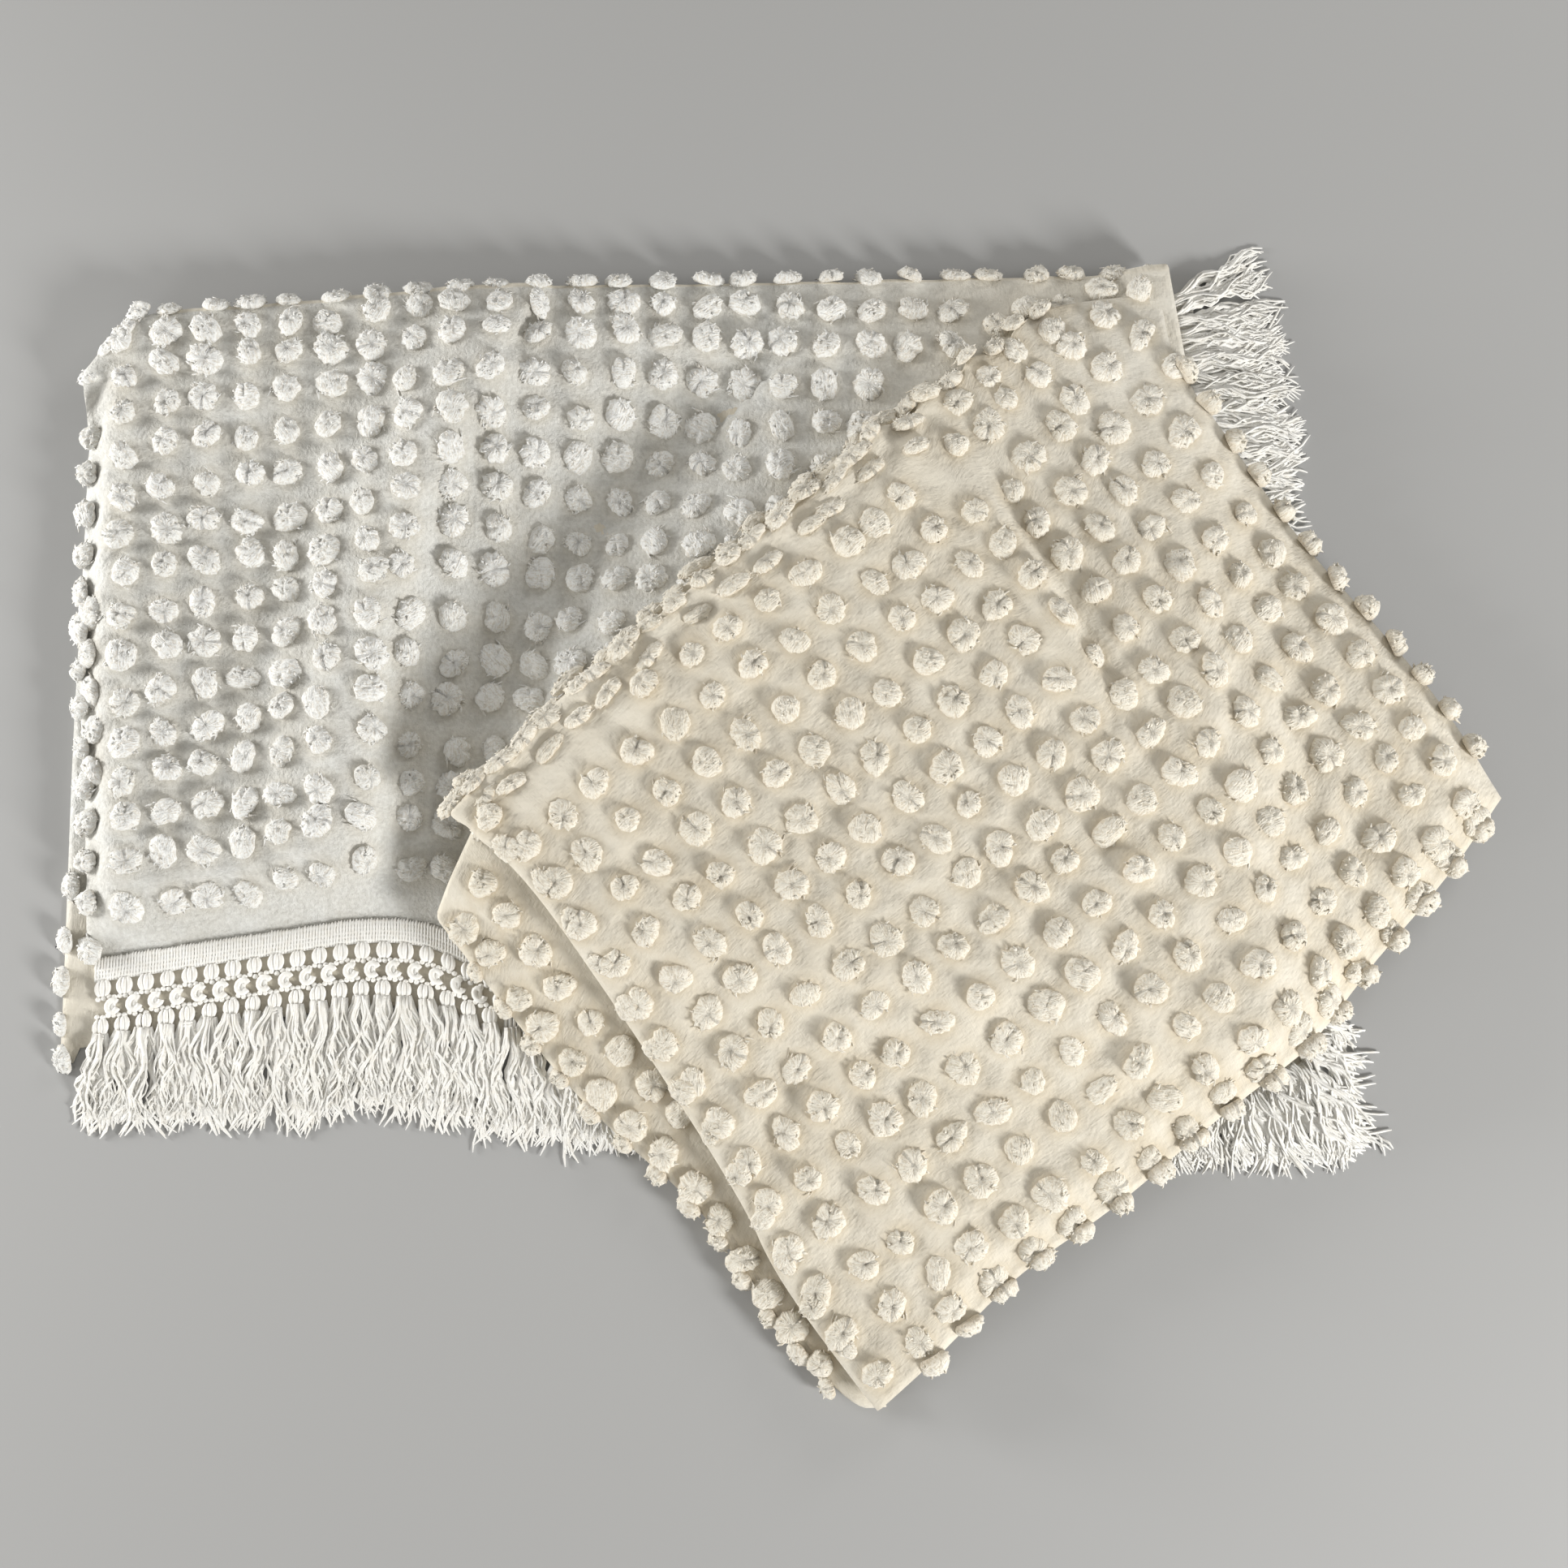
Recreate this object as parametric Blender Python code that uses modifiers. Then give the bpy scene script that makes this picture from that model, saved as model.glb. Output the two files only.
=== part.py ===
"""Chenille bedspread, folded and laid down, with knotted fringe along two edges.

Units are metres, +Z is up, and the spread rests on z = 0.  The lower half is a
pack of layers folded back and forth.  The rest of the same cloth is folded
into a slanted pack that lies across it and droops to the floor at two corners.
"""
import math
import random

import bpy
import bmesh
from mathutils import Vector

# ---------------------------------------------------------------- dimensions
CLOTH_THICKNESS = 0.0026
TUFT_HEIGHT = 0.011
TUFT_MARGIN = 0.0075
SMALLEST_TUFT_CELL = 0.0008
CLEAR_OF_FLAP = 0.012
CLEAR_OF_FOLD = 0.020
BASE_COLUMNS = 28
BASE_ROWS = 16
PACK_COLUMNS = 19
PACK_ROWS = 15
FOLD_STEPS = 4
HIDDEN_FOLD_STEPS = 2
SEAT_GAP = 0.0004
FLAT_ENOUGH = 0.999999
FLAT_ANGLE = 0.0005

# Where the trimmed front edge of the base lies, from left to right.
FRONT_EDGE = [
    {"x": -0.670, "y": -0.163},
    {"x": -0.495, "y": -0.136},
    {"x": -0.347, "y": -0.114},
    {"x": -0.270, "y": -0.156},
    {"x": -0.100, "y": -0.190},
    {"x": 0.300, "y": -0.246},
    {"x": 0.490, "y": -0.262},
]
# The far fold of the base, from left to right.
FAR_EDGE = [
    {"x": -0.670, "y": 0.436},
    {"x": -0.628, "y": 0.456},
    {"x": -0.480, "y": 0.464},
    {"x": -0.286, "y": 0.485},
    {"x": 0.183, "y": 0.497},
    {"x": 0.400, "y": 0.499},
]
LEFT_EDGE_FRONT = -0.648
LEFT_EDGE_FAR = -0.669
RIGHT_EDGE_FRONT = 0.481
RIGHT_EDGE_FAR = 0.371

# The four layers of the base, top to bottom.  left and right are how far a
# layer stays inside the top one at its sides, setback is how far its front
# lies behind the trimmed edge, and far is how far it stays inside the far fold.
BASE_LAYERS = [
    {"name": "top", "z": 0.0370, "left": 0.000, "right": 0.000, "setback": 0.000, "far": 0.000},
    {"name": "second", "z": 0.0250, "left": 0.034, "right": 0.085, "setback": 0.104, "far": 0.000},
    {"name": "third", "z": 0.0130, "left": 0.030, "right": 0.085, "setback": 0.104, "far": 0.004},
    {"name": "bottom", "z": 0.0013, "left": -0.004, "right": 0.070, "setback": 0.075, "far": 0.004},
]
# Towards the far right corner the layers line up and the top edge stays high.
LINED_UP_START = 0.55
LINED_UP_END = 0.88
LINED_UP_INSET = 0.006
LEFT_LINED_UP_START = 0.88
# The bottom layer's front left corner sticks out as a narrow tongue.
TONGUE_OUT = 0.018
TONGUE_WIDTH = 0.014
TONGUE_FRONT = -0.254
MARGIN_ROLL = 0.026
ROLL_WIDTH = 0.034
SLOPE_WIDTH = 0.085

# How the top layer comes down to the floor at its front and right edges.
EDGE_SLOPE = [
    {"inside": 0.000, "z": 0.0022},
    {"inside": 0.006, "z": 0.0024},
    {"inside": 0.030, "z": 0.0180},
    {"inside": 0.060, "z": 0.0330},
    {"inside": 0.085, "z": 0.0370},
]

# One soft ridge and one hollow run down the top layer.
RIDGE_PATH = [(-0.270, 0.440), (-0.335, 0.320), (-0.390, 0.165), (-0.395, -0.070)]
RIDGE_HEIGHT = 0.012
RIDGE_WIDTH = 0.034
HOLLOW_PATH = [(-0.150, 0.330), (-0.215, 0.210), (-0.300, 0.080), (-0.330, -0.060)]
HOLLOW_DEPTH = 0.005
HOLLOW_WIDTH = 0.032

# Height of the underside of the slanted pack, by its distance beyond the
# front or right edge of the base.
PACK_SUPPORT = [
    {"beyond": -0.110, "z": 0.0428},
    {"beyond": -0.040, "z": 0.0410},
    {"beyond": 0.000, "z": 0.0270},
    {"beyond": 0.035, "z": 0.0140},
    {"beyond": 0.070, "z": 0.0095},
    {"beyond": 0.120, "z": 0.0075},
    {"beyond": 0.170, "z": 0.0065},
    {"beyond": 0.215, "z": 0.0004},
]
# The same beside the far right corner, where the base's edge stays high.
HIGH_PACK_SUPPORT = [
    {"beyond": 0.000, "z": 0.0428},
    {"beyond": 0.020, "z": 0.0370},
    {"beyond": 0.070, "z": 0.0150},
    {"beyond": 0.120, "z": 0.0085},
    {"beyond": 0.170, "z": 0.0065},
    {"beyond": 0.215, "z": 0.0004},
]

# Edges of the top layer of the slanted pack.
PACK_UPPER_LEFT = [
    (-0.295, -0.031), (-0.231, 0.043), (-0.137, 0.125), (-0.049, 0.201),
    (0.025, 0.262), (0.100, 0.339), (0.200, 0.430), (0.264, 0.466), (0.362, 0.478),
]
PACK_LOWER_RIGHT = [
    (0.088, -0.554), (0.154, -0.497), (0.219, -0.434), (0.300, -0.382),
    (0.390, -0.305), (0.487, -0.228), (0.540, -0.162), (0.606, -0.092), (0.668, -0.010),
]
PACK_LOWER_LEFT = [
    (-0.295, -0.031), (-0.229, -0.078), (-0.119, -0.239), (-0.030, -0.375),
    (-0.004, -0.435), (0.064, -0.525), (0.088, -0.554),
]
PACK_UPPER_RIGHT = [
    (0.362, 0.478), (0.368, 0.402), (0.430, 0.324), (0.500, 0.224),
    (0.548, 0.165), (0.622, 0.070), (0.668, -0.010),
]
# The lower band shows beyond the top flap at its lower left.
BAND_LOWER_LEFT = [
    (-0.312, -0.120), (-0.230, -0.229), (-0.163, -0.304), (-0.076, -0.376),
    (-0.011, -0.474), (0.058, -0.556),
]
PACK_FAR_CORNER = (0.362, 0.478)
INNER_FAR_CORNER = (0.232, 0.322)
BAND_UPPER_LEFT_CORNER = (-0.312, -0.120)
INNER_RIGHT_CORNER = (0.618, -0.022)
UNDER_INSET = (-0.023, 0.026)
UNDER_UPPER_RIGHT_MIDDLE = [(0.400, 0.290), (0.510, 0.165)]
UNDER_UPPER_LEFT_SAG = (0.012, -0.016)
FAR_DROP_START = 0.050
FAR_DROP_LENGTH = 0.120
FAR_CORNER_HEIGHT = 0.0080
PACK_LAYERS = [
    {"name": "flap", "height": 0.0400},
    {"name": "under_flap", "height": 0.0275},
    {"name": "band", "height": 0.0150},
    {"name": "under_band", "height": 0.0020},
]
# The flap's margins roll down: how deep, and over what share of its width.
FLAP_ROLL = 0.022
FLAP_ROLL_SHARE = 0.055
LIP_ROLL = 0.016
LIP_ROLL_SHARE = 0.045
UPPER_LEFT_ROLL = 0.004
UPPER_LEFT_ROLL_SHARE = 0.050
# Where the lowest pack layer runs down into the base, as shares along its end.
JOIN_START = 0.20
JOIN_END = 0.46
JOIN_EASE = 0.06
JOIN_Z = 0.0370
UNDER_BAND_END = 0.74
PACK_MARGINS = (0.022, 0.962)
HIDDEN_ROWS = 8
BAND_SHARES = [0.150, 0.100, 0.050, 0.0]

# Knotted heading and strands of the fringe.
HEADING_THICKNESS = 0.0040
LOCK_PITCH = 0.010
WIDE_PITCH = 0.020
LOCK_SHARE = 0.70
HEADING_ROWS = [
    {"name": "band", "depth": 0.016, "gap": None},
    {"name": "first_knots", "depth": 0.011, "gap": "odd"},
    {"name": "first_tie", "depth": 0.003, "gap": None},
    {"name": "second_knots", "depth": 0.011, "gap": "even"},
    {"name": "second_tie", "depth": 0.003, "gap": None},
    {"name": "third_knots", "depth": 0.011, "gap": "odd"},
    {"name": "strand_root", "depth": 0.003, "gap": None},
]
OPEN_HEADING_END = -0.272
FRONT_STRETCHES = [
    {"start": -0.636, "end": -0.116, "pitch": LOCK_PITCH},
    {"start": -0.116, "end": 0.304, "pitch": WIDE_PITCH},
    {"start": 0.304, "end": 0.464, "pitch": LOCK_PITCH},
]
FRONT_FRINGE = [
    {"x": -0.640, "scale": 1.00, "tip_y": -0.320, "lean": -3.0},
    {"x": -0.423, "scale": 1.00, "tip_y": -0.316, "lean": 0.0},
    {"x": -0.348, "scale": 1.00, "tip_y": -0.305, "lean": 2.0},
    {"x": -0.273, "scale": 0.95, "tip_y": -0.328, "lean": 5.0},
    {"x": -0.205, "scale": 0.85, "tip_y": -0.342, "lean": 7.0},
    {"x": -0.124, "scale": 0.70, "tip_y": -0.342, "lean": 7.0},
    {"x": 0.300, "scale": 0.40, "tip_y": -0.350, "lean": 3.0},
    {"x": 0.400, "scale": 0.35, "tip_y": -0.356, "lean": 12.0},
    {"x": 0.478, "scale": 0.30, "tip_y": -0.352, "lean": 34.0},
]
SIDE_STRETCHES = [
    {"start": -0.250, "end": -0.180, "pitch": LOCK_PITCH},
    {"start": -0.180, "end": 0.300, "pitch": WIDE_PITCH},
    {"start": 0.300, "end": 0.490, "pitch": LOCK_PITCH},
]
SIDE_FRINGE = [
    {"y": -0.262, "scale": 0.30, "reach": 0.088, "lean": -34.0},
    {"y": -0.190, "scale": 0.30, "reach": 0.092, "lean": -12.0},
    {"y": 0.100, "scale": 0.30, "reach": 0.100, "lean": 0.0},
    {"y": 0.360, "scale": 0.35, "reach": 0.112, "lean": 0.0},
    {"y": 0.440, "scale": 0.35, "reach": 0.120, "lean": 4.0},
    {"y": 0.495, "scale": 0.35, "reach": 0.104, "lean": 34.0},
]
# Each lock swells a little half way and thins to its tip.
LOCK_SECTIONS = [
    {"reach": 0.45, "width": 1.05, "top": 0.0046},
    {"reach": 1.00, "width": 0.60, "top": 0.0022},
]
LENGTH_WAVER = 0.10
RIM_TOLERANCE = 0.00001
SEED = 11

WHITE_COTTON = (0.72, 0.70, 0.65)
CREAM_FRINGE = (0.78, 0.74, 0.66)


# ------------------------------------------------------------------- helpers
def clear_scene():
    for obj in list(bpy.data.objects):
        bpy.data.objects.remove(obj, do_unlink=True)


def collection(name):
    group = bpy.data.collections.new(name)
    bpy.context.scene.collection.children.link(group)
    return group


def cotton(name, colour):
    material = bpy.data.materials.new(name)
    material.use_nodes = True
    shader = material.node_tree.nodes["Principled BSDF"]
    shader.inputs["Base Color"].default_value = (*colour, 1.0)
    shader.inputs["Roughness"].default_value = 0.95
    shader.inputs["Metallic"].default_value = 0.0
    return material


def add_object(name, mesh_data, group, material):
    obj = bpy.data.objects.new(name, mesh_data)
    obj.data.materials.append(material)
    group.objects.link(obj)
    return obj


def look_up(rows, key, value, wanted):
    """Read a table of rows at a place between them."""
    if value <= rows[0][key]:
        return rows[0][wanted]
    for low, high in zip(rows, rows[1:]):
        if value <= high[key]:
            share = (value - low[key]) / (high[key] - low[key])
            return low[wanted] + share * (high[wanted] - low[wanted])
    return rows[-1][wanted]


def ease(value):
    value = min(max(value, 0.0), 1.0)
    return value * value * (3.0 - 2.0 * value)


def mix(start, end, share):
    return start + (end - start) * share


def along(points, share):
    """The point at a share of the length of a line through points."""
    lengths = [math.dist(a, b) for a, b in zip(points, points[1:])]
    left = share * sum(lengths)
    for (a, b), length in zip(zip(points, points[1:]), lengths):
        if left <= length:
            return Vector(a).lerp(Vector(b), left / length)
        left -= length
    return Vector(points[-1])


def distance_to_path(x, y, path):
    here = Vector((x, y))
    best = 10.0
    for a, b in zip(path, path[1:]):
        start = Vector(a)
        run = Vector(b) - start
        share = min(max((here - start).dot(run) / run.length_squared, 0.0), 1.0)
        best = min(best, (here - start - run * share).length)
    return best


def inside_outline(x, y, outline):
    """Even-odd test of a point against a closed outline."""
    inside = False
    for (ax, ay), (bx, by) in zip(outline, outline[1:] + outline[:1]):
        if (ay > y) != (by > y) and x < ax + (bx - ax) * (y - ay) / (by - ay):
            inside = not inside
    return inside


def fold_arc(upper, lower, outward, steps):
    """Points round a fold from the upper layer to the lower one."""
    middle = (upper + lower) / 2.0
    half = (upper - lower) / 2.0
    radius = half.length
    arc = []
    for step in range(1, steps):
        angle = math.pi * step / steps
        arc.append(middle + half * math.cos(angle) + outward * radius * math.sin(angle))
    return arc


def sheet_from_rows(rows):
    """An open sheet whose grid follows rows of points."""
    row_count = len(rows) - 1
    column_count = len(rows[0]) - 1
    bm = bmesh.new()
    bmesh.ops.create_grid(bm, x_segments=column_count, y_segments=row_count, size=1.0)
    for vertex in bm.verts:
        column = round((vertex.co.x + 1.0) / 2.0 * column_count)
        row = round((vertex.co.y + 1.0) / 2.0 * row_count)
        vertex.co = rows[row][column]
    return bm


def thickened(bm, name):
    """The sheet given its thickness, as a new mesh."""
    mesh_data = bpy.data.meshes.new(name)
    bm.to_mesh(mesh_data)
    bm.free()
    carrier = bpy.data.objects.new(name + "_carrier", mesh_data)
    bpy.context.scene.collection.objects.link(carrier)
    shell = carrier.modifiers.new("thickness", "SOLIDIFY")
    shell.thickness = CLOTH_THICKNESS
    shell.offset = 0.0
    graph = bpy.context.evaluated_depsgraph_get()
    solid = bpy.data.meshes.new_from_object(carrier.evaluated_get(graph))
    bpy.data.objects.remove(carrier, do_unlink=True)
    bpy.data.meshes.remove(mesh_data)
    return solid


def raise_tufts(mesh_data, wanted):
    """Raise the middle of each wanted cell, and join the flat hidden cells."""
    bm = bmesh.new()
    bm.from_mesh(mesh_data)
    flat = [face for face in bm.faces if abs(face.normal.z) > FLAT_ENOUGH and not wanted(face)]
    flat_edges = [edge for edge in {edge for face in flat for edge in face.edges}
                  if all(face in flat for face in edge.link_faces)]
    flat_verts = {vert for edge in flat_edges for vert in edge.verts}
    bmesh.ops.dissolve_limit(bm, angle_limit=FLAT_ANGLE, verts=list(flat_verts), edges=flat_edges)
    cells = [face for face in bm.faces if len(face.verts) == 4 and wanted(face)]
    bmesh.ops.inset_individual(bm, faces=cells, thickness=TUFT_MARGIN, use_even_offset=True)
    bmesh.ops.poke(bm, faces=cells, offset=TUFT_HEIGHT, center_mode="MEAN")
    bm.to_mesh(mesh_data)
    bm.free()


# ---------------------------------------------------------------- base cloth
def front_y(x):
    return look_up(FRONT_EDGE, "x", x, "y")


def far_y(x):
    return look_up(FAR_EDGE, "x", x, "y")


def left_x(share):
    return mix(LEFT_EDGE_FRONT, LEFT_EDGE_FAR, ease(share * 1.6))


def right_x(share):
    return mix(RIGHT_EDGE_FRONT, RIGHT_EDGE_FAR, share)


def right_share(y):
    """How far up the right edge of the base a given y lies."""
    low = front_y(RIGHT_EDGE_FRONT)
    high = far_y(RIGHT_EDGE_FAR)
    return (y - low) / (high - low)


def right_x_at(y):
    return right_x(right_share(y))


def top_relief(x, y):
    ridge = RIDGE_HEIGHT * math.exp(-0.5 * (distance_to_path(x, y, RIDGE_PATH) / RIDGE_WIDTH) ** 2)
    hollow = HOLLOW_DEPTH * math.exp(-0.5 * (distance_to_path(x, y, HOLLOW_PATH) / HOLLOW_WIDTH) ** 2)
    return ridge - hollow


def base_columns():
    """Shares across the width: narrow margins, then even cells."""
    left = [0.0, 0.010, 0.018]
    right = [0.930, 0.955, 0.978, 0.9948, 1.0]
    inner = BASE_COLUMNS - 4
    return left + [mix(left[-1], right[0], k / inner) for k in range(1, inner)] + right


def top_rows():
    """Shares from the front edge to the far fold on the top layer."""
    front = [0.0, 0.009, 0.045, 0.090]
    return front + [mix(front[-1], 1.0, k / (BASE_ROWS - 2)) for k in range(1, BASE_ROWS - 1)]


def lined_up(share):
    return ease((share - LINED_UP_START) / (LINED_UP_END - LINED_UP_START))


def base_point(layer, across, share):
    """A point on one base layer: across runs left to right, share front to far."""
    left_lined_up = ease((share - LEFT_LINED_UP_START) / (1.0 - LEFT_LINED_UP_START))
    left = left_x(share) + mix(layer["left"], 0.0, left_lined_up)
    right = right_x(share) - mix(layer["right"], min(layer["right"], LINED_UP_INSET), lined_up(share))
    if layer["name"] == "bottom":
        left -= TONGUE_OUT * (1.0 - ease(share * 1.5))
    x = mix(left, right, across)
    far = far_y(x) - layer["far"]
    front = front_y(x) + layer["setback"]
    z = layer["z"]
    if layer["name"] == "bottom" and across < TONGUE_WIDTH:
        front = TONGUE_FRONT
    if layer["name"] == "top":
        y = mix(front, far, share)
        from_right = right - x
        sloped = look_up(EDGE_SLOPE, "inside", from_right, "z")
        sloped = mix(sloped, layer["z"], lined_up(share))
        sloped = min(sloped, look_up(EDGE_SLOPE, "inside", y - front, "z"))
        inside = min(y - front, from_right)
        z = sloped + top_relief(x, y) * ease(inside / SLOPE_WIDTH)
        roll = 1.0 - ease((x - left) / ROLL_WIDTH)
        z -= MARGIN_ROLL * roll * ease((y - front) / SLOPE_WIDTH) * (1.0 - left_lined_up)
        return Vector((x, y, z))
    return Vector((x, mix(front, far, share), z))


def base_rows():
    """All rows of the back-and-forth base, from the trimmed edge inwards."""
    columns = base_columns()
    top, second, third, bottom = BASE_LAYERS
    away = Vector((0.0, 1.0, 0.0))
    inner_shares = [0.0, LINED_UP_START, LINED_UP_END, 1.0]
    rows = [[base_point(top, u, v) for u in columns] for v in top_rows()]
    folds = [
        (top, second, 1.0, away, FOLD_STEPS, inner_shares[::-1]),
        (second, third, 0.0, -away, HIDDEN_FOLD_STEPS, inner_shares),
        (third, bottom, 1.0, away, HIDDEN_FOLD_STEPS, inner_shares[::-1]),
    ]
    for upper, lower, share, outward, steps, shares in folds:
        pairs = [(base_point(upper, u, share), base_point(lower, u, share)) for u in columns]
        arcs = [fold_arc(a, b, outward, steps) for a, b in pairs]
        rows += [[arc[k] for arc in arcs] for k in range(steps - 1)]
        rows += [[base_point(lower, u, v) for u in columns] for v in shares]
    return rows


# -------------------------------------------------------------- slanted pack
def beyond_base(x, y):
    """How far a place lies beyond the front or right edge of the base."""
    past_front = front_y(x) - y
    past_right = x - right_x_at(y)
    if past_front > 0.0 and past_right > 0.0:
        return math.hypot(past_front, past_right)
    return max(past_front, past_right)


def support_z(x, y):
    beyond = beyond_base(x, y)
    low = look_up(PACK_SUPPORT, "beyond", beyond, "z")
    high = look_up(HIGH_PACK_SUPPORT, "beyond", beyond, "z")
    return mix(low, high, lined_up(right_share(y)))


def patch(upper_left, lower_right, lower_left, upper_right, across, down):
    """A point inside four edges: across runs up to the right, down to the lower right."""
    a = along(upper_left, across)
    b = along(lower_right, across)
    c = along(lower_left, down)
    d = along(upper_right, down)
    near_side = Vector(upper_left[0]).lerp(Vector(lower_right[0]), down)
    far_side = Vector(upper_left[-1]).lerp(Vector(lower_right[-1]), down)
    return a.lerp(b, down) + c.lerp(d, across) - near_side.lerp(far_side, across)


def inner_edges(lower_left, left_corner):
    """Edges of the layers under the flap, which stay inside it."""
    near_corner = Vector(lower_left[-1])
    right_corner = Vector(INNER_RIGHT_CORNER)
    far_corner = Vector(INNER_FAR_CORNER)
    left = Vector(left_corner)
    drawn_in = Vector(UNDER_INSET)
    lower_right = [near_corner] + [Vector(p) + drawn_in for p in PACK_LOWER_RIGHT[1:-1]] + [right_corner]
    upper_left = [left, left.lerp(far_corner, 0.5) + Vector(UNDER_UPPER_LEFT_SAG), far_corner]
    upper_right = [far_corner] + [Vector(p) for p in UNDER_UPPER_RIGHT_MIDDLE] + [right_corner]
    return upper_left, lower_right, lower_left, upper_right


FLAP_EDGES = (PACK_UPPER_LEFT, PACK_LOWER_RIGHT, PACK_LOWER_LEFT, PACK_UPPER_RIGHT)
UNDER_FLAP_EDGES = inner_edges(PACK_LOWER_LEFT, PACK_LOWER_LEFT[0])
BAND_EDGES = inner_edges(BAND_LOWER_LEFT, BAND_UPPER_LEFT_CORNER)


def flap_height(x, y):
    """The flap comes down to the base near the far corner."""
    from_corner = math.dist((x, y), PACK_FAR_CORNER)
    share = ease((from_corner - FAR_DROP_START) / FAR_DROP_LENGTH)
    return mix(FAR_CORNER_HEIGHT, PACK_LAYERS[0]["height"], share)


def flap_point(across, down):
    """A point on the flap; its margins roll down, but not at the near corner."""
    place = patch(*FLAP_EDGES, across, down)
    height = flap_height(*place)
    height_share = (height - FAR_CORNER_HEIGHT) / (PACK_LAYERS[0]["height"] - FAR_CORNER_HEIGHT)
    from_near_corner = ease((across - 0.04) / 0.12)
    lower_right_roll = FLAP_ROLL * (1.0 - ease((1.0 - down) / FLAP_ROLL_SHARE)) * from_near_corner
    upper_right_roll = LIP_ROLL * (1.0 - ease((1.0 - across) / LIP_ROLL_SHARE)) * height_share
    upper_left_roll = UPPER_LEFT_ROLL * (1.0 - ease(down / UPPER_LEFT_ROLL_SHARE)) * height_share
    roll = max(lower_right_roll, upper_right_roll, upper_left_roll)
    return Vector((*place, support_z(*place) + height - roll))


def inner_point(layer, edges, across, down):
    place = patch(*edges, across, down)
    return Vector((*place, support_z(*place) + layer["height"]))


def under_band_point(across, down):
    """The lowest layer, whose hidden end runs into the base cloth."""
    point = inner_point(PACK_LAYERS[3], BAND_EDGES, across, down)
    joined = ease((down - JOIN_START) / JOIN_EASE) * ease((JOIN_END - down) / JOIN_EASE)
    if across >= UNDER_BAND_END:
        point.z = mix(point.z, JOIN_Z, joined)
    return point


def pack_columns():
    """Shares from the upper left edge to the lower right one, with narrow margins."""
    first, last = PACK_MARGINS
    inner = PACK_ROWS - 2
    return [0.0, first] + [mix(first, last, k / inner) for k in range(1, inner)] + [last, 1.0]


def outward_of(edge_point, inner_place):
    away = edge_point - inner_place
    away.z = 0.0
    return away.normalized()


def pack_rows():
    """All rows of the slanted pack, from the flap's upper right edge down."""
    downs = pack_columns()
    flap_shares = [1.0, 0.975] + [1.0 - k / PACK_COLUMNS for k in range(1, PACK_COLUMNS + 1)]
    rows = [[flap_point(v, u) for u in downs] for v in flap_shares]
    under_flap, band = PACK_LAYERS[1], PACK_LAYERS[2]

    def add_fold(upper, lower, inner, steps):
        arcs = [fold_arc(a, b, outward_of(a, c), steps) for a, b, c in zip(upper, lower, inner)]
        rows.extend([arc[k] for arc in arcs] for k in range(steps - 1))

    even = [k / HIDDEN_ROWS for k in range(HIDDEN_ROWS + 1)]
    last = [UNDER_BAND_END * share for share in even]
    under_rows = [[inner_point(under_flap, UNDER_FLAP_EDGES, v, u) for u in downs] for v in even]
    band_rows = [[inner_point(band, BAND_EDGES, v, u) for u in downs] for v in even[:1:-1] + BAND_SHARES]
    last_rows = [[under_band_point(v, u) for u in downs] for v in last]
    add_fold(rows[-1], under_rows[0], rows[-2], FOLD_STEPS)
    rows.extend(under_rows)
    add_fold(under_rows[-1], band_rows[0], under_rows[-2], HIDDEN_FOLD_STEPS)
    rows.extend(band_rows)
    add_fold(band_rows[-1], last_rows[0], band_rows[-2], FOLD_STEPS)
    rows.extend(last_rows)
    return rows


def flap_outline():
    return PACK_UPPER_LEFT + PACK_UPPER_RIGHT[1:] + PACK_LOWER_RIGHT[::-1][1:] + PACK_LOWER_LEFT[::-1][1:-1]


def build_cloth(parts, cutters, material):
    """The whole spread as one body: the base joined to the slanted pack.

    Each open cell of the base, the flap and the band is raised as one tuft.
    """
    outline = flap_outline()
    band_outline = BAND_LOWER_LEFT + [PACK_LOWER_LEFT[-1]] + PACK_LOWER_LEFT[::-1]

    def whole_cell(face):
        return face.calc_area() > SMALLEST_TUFT_CELL

    def on_open_base(face):
        x, y, z = face.calc_center_median()
        covered = inside_outline(x, y, outline) or inside_outline(x, y, band_outline)
        near = distance_to_path(x, y, PACK_UPPER_LEFT[:-1]) < CLEAR_OF_FLAP
        on_top = face.normal.z > 0.8 and z > BASE_LAYERS[0]["z"] - 0.006
        return whole_cell(face) and on_top and not covered and not near

    def on_flap(face):
        x, y, z = face.calc_center_median()
        lift = z - support_z(x, y)
        on_top = lift > flap_height(x, y) - 0.006 and lift > PACK_LAYERS[2]["height"] + 0.003
        on_band = inside_outline(x, y, band_outline) and lift > PACK_LAYERS[2]["height"] - 0.003
        beside_flap = not on_top and distance_to_path(x, y, PACK_LOWER_LEFT) < CLEAR_OF_FOLD
        return whole_cell(face) and face.normal.z > 0.6 and (on_top or on_band) and not beside_flap

    base = thickened(sheet_from_rows(base_rows()), "spread_cloth")
    raise_tufts(base, on_open_base)
    cloth = add_object("spread_cloth", base, parts, material)
    pack = thickened(sheet_from_rows(pack_rows()), "slanted_pack")
    raise_tufts(pack, on_flap)
    joined = add_object("slanted_pack", pack, cutters, material)
    joined.hide_render = True
    joined.display_type = "WIRE"
    union = cloth.modifiers.new("one_cloth", "BOOLEAN")
    union.operation = "UNION"
    union.solver = "EXACT"
    union.object = joined
    return cloth


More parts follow.
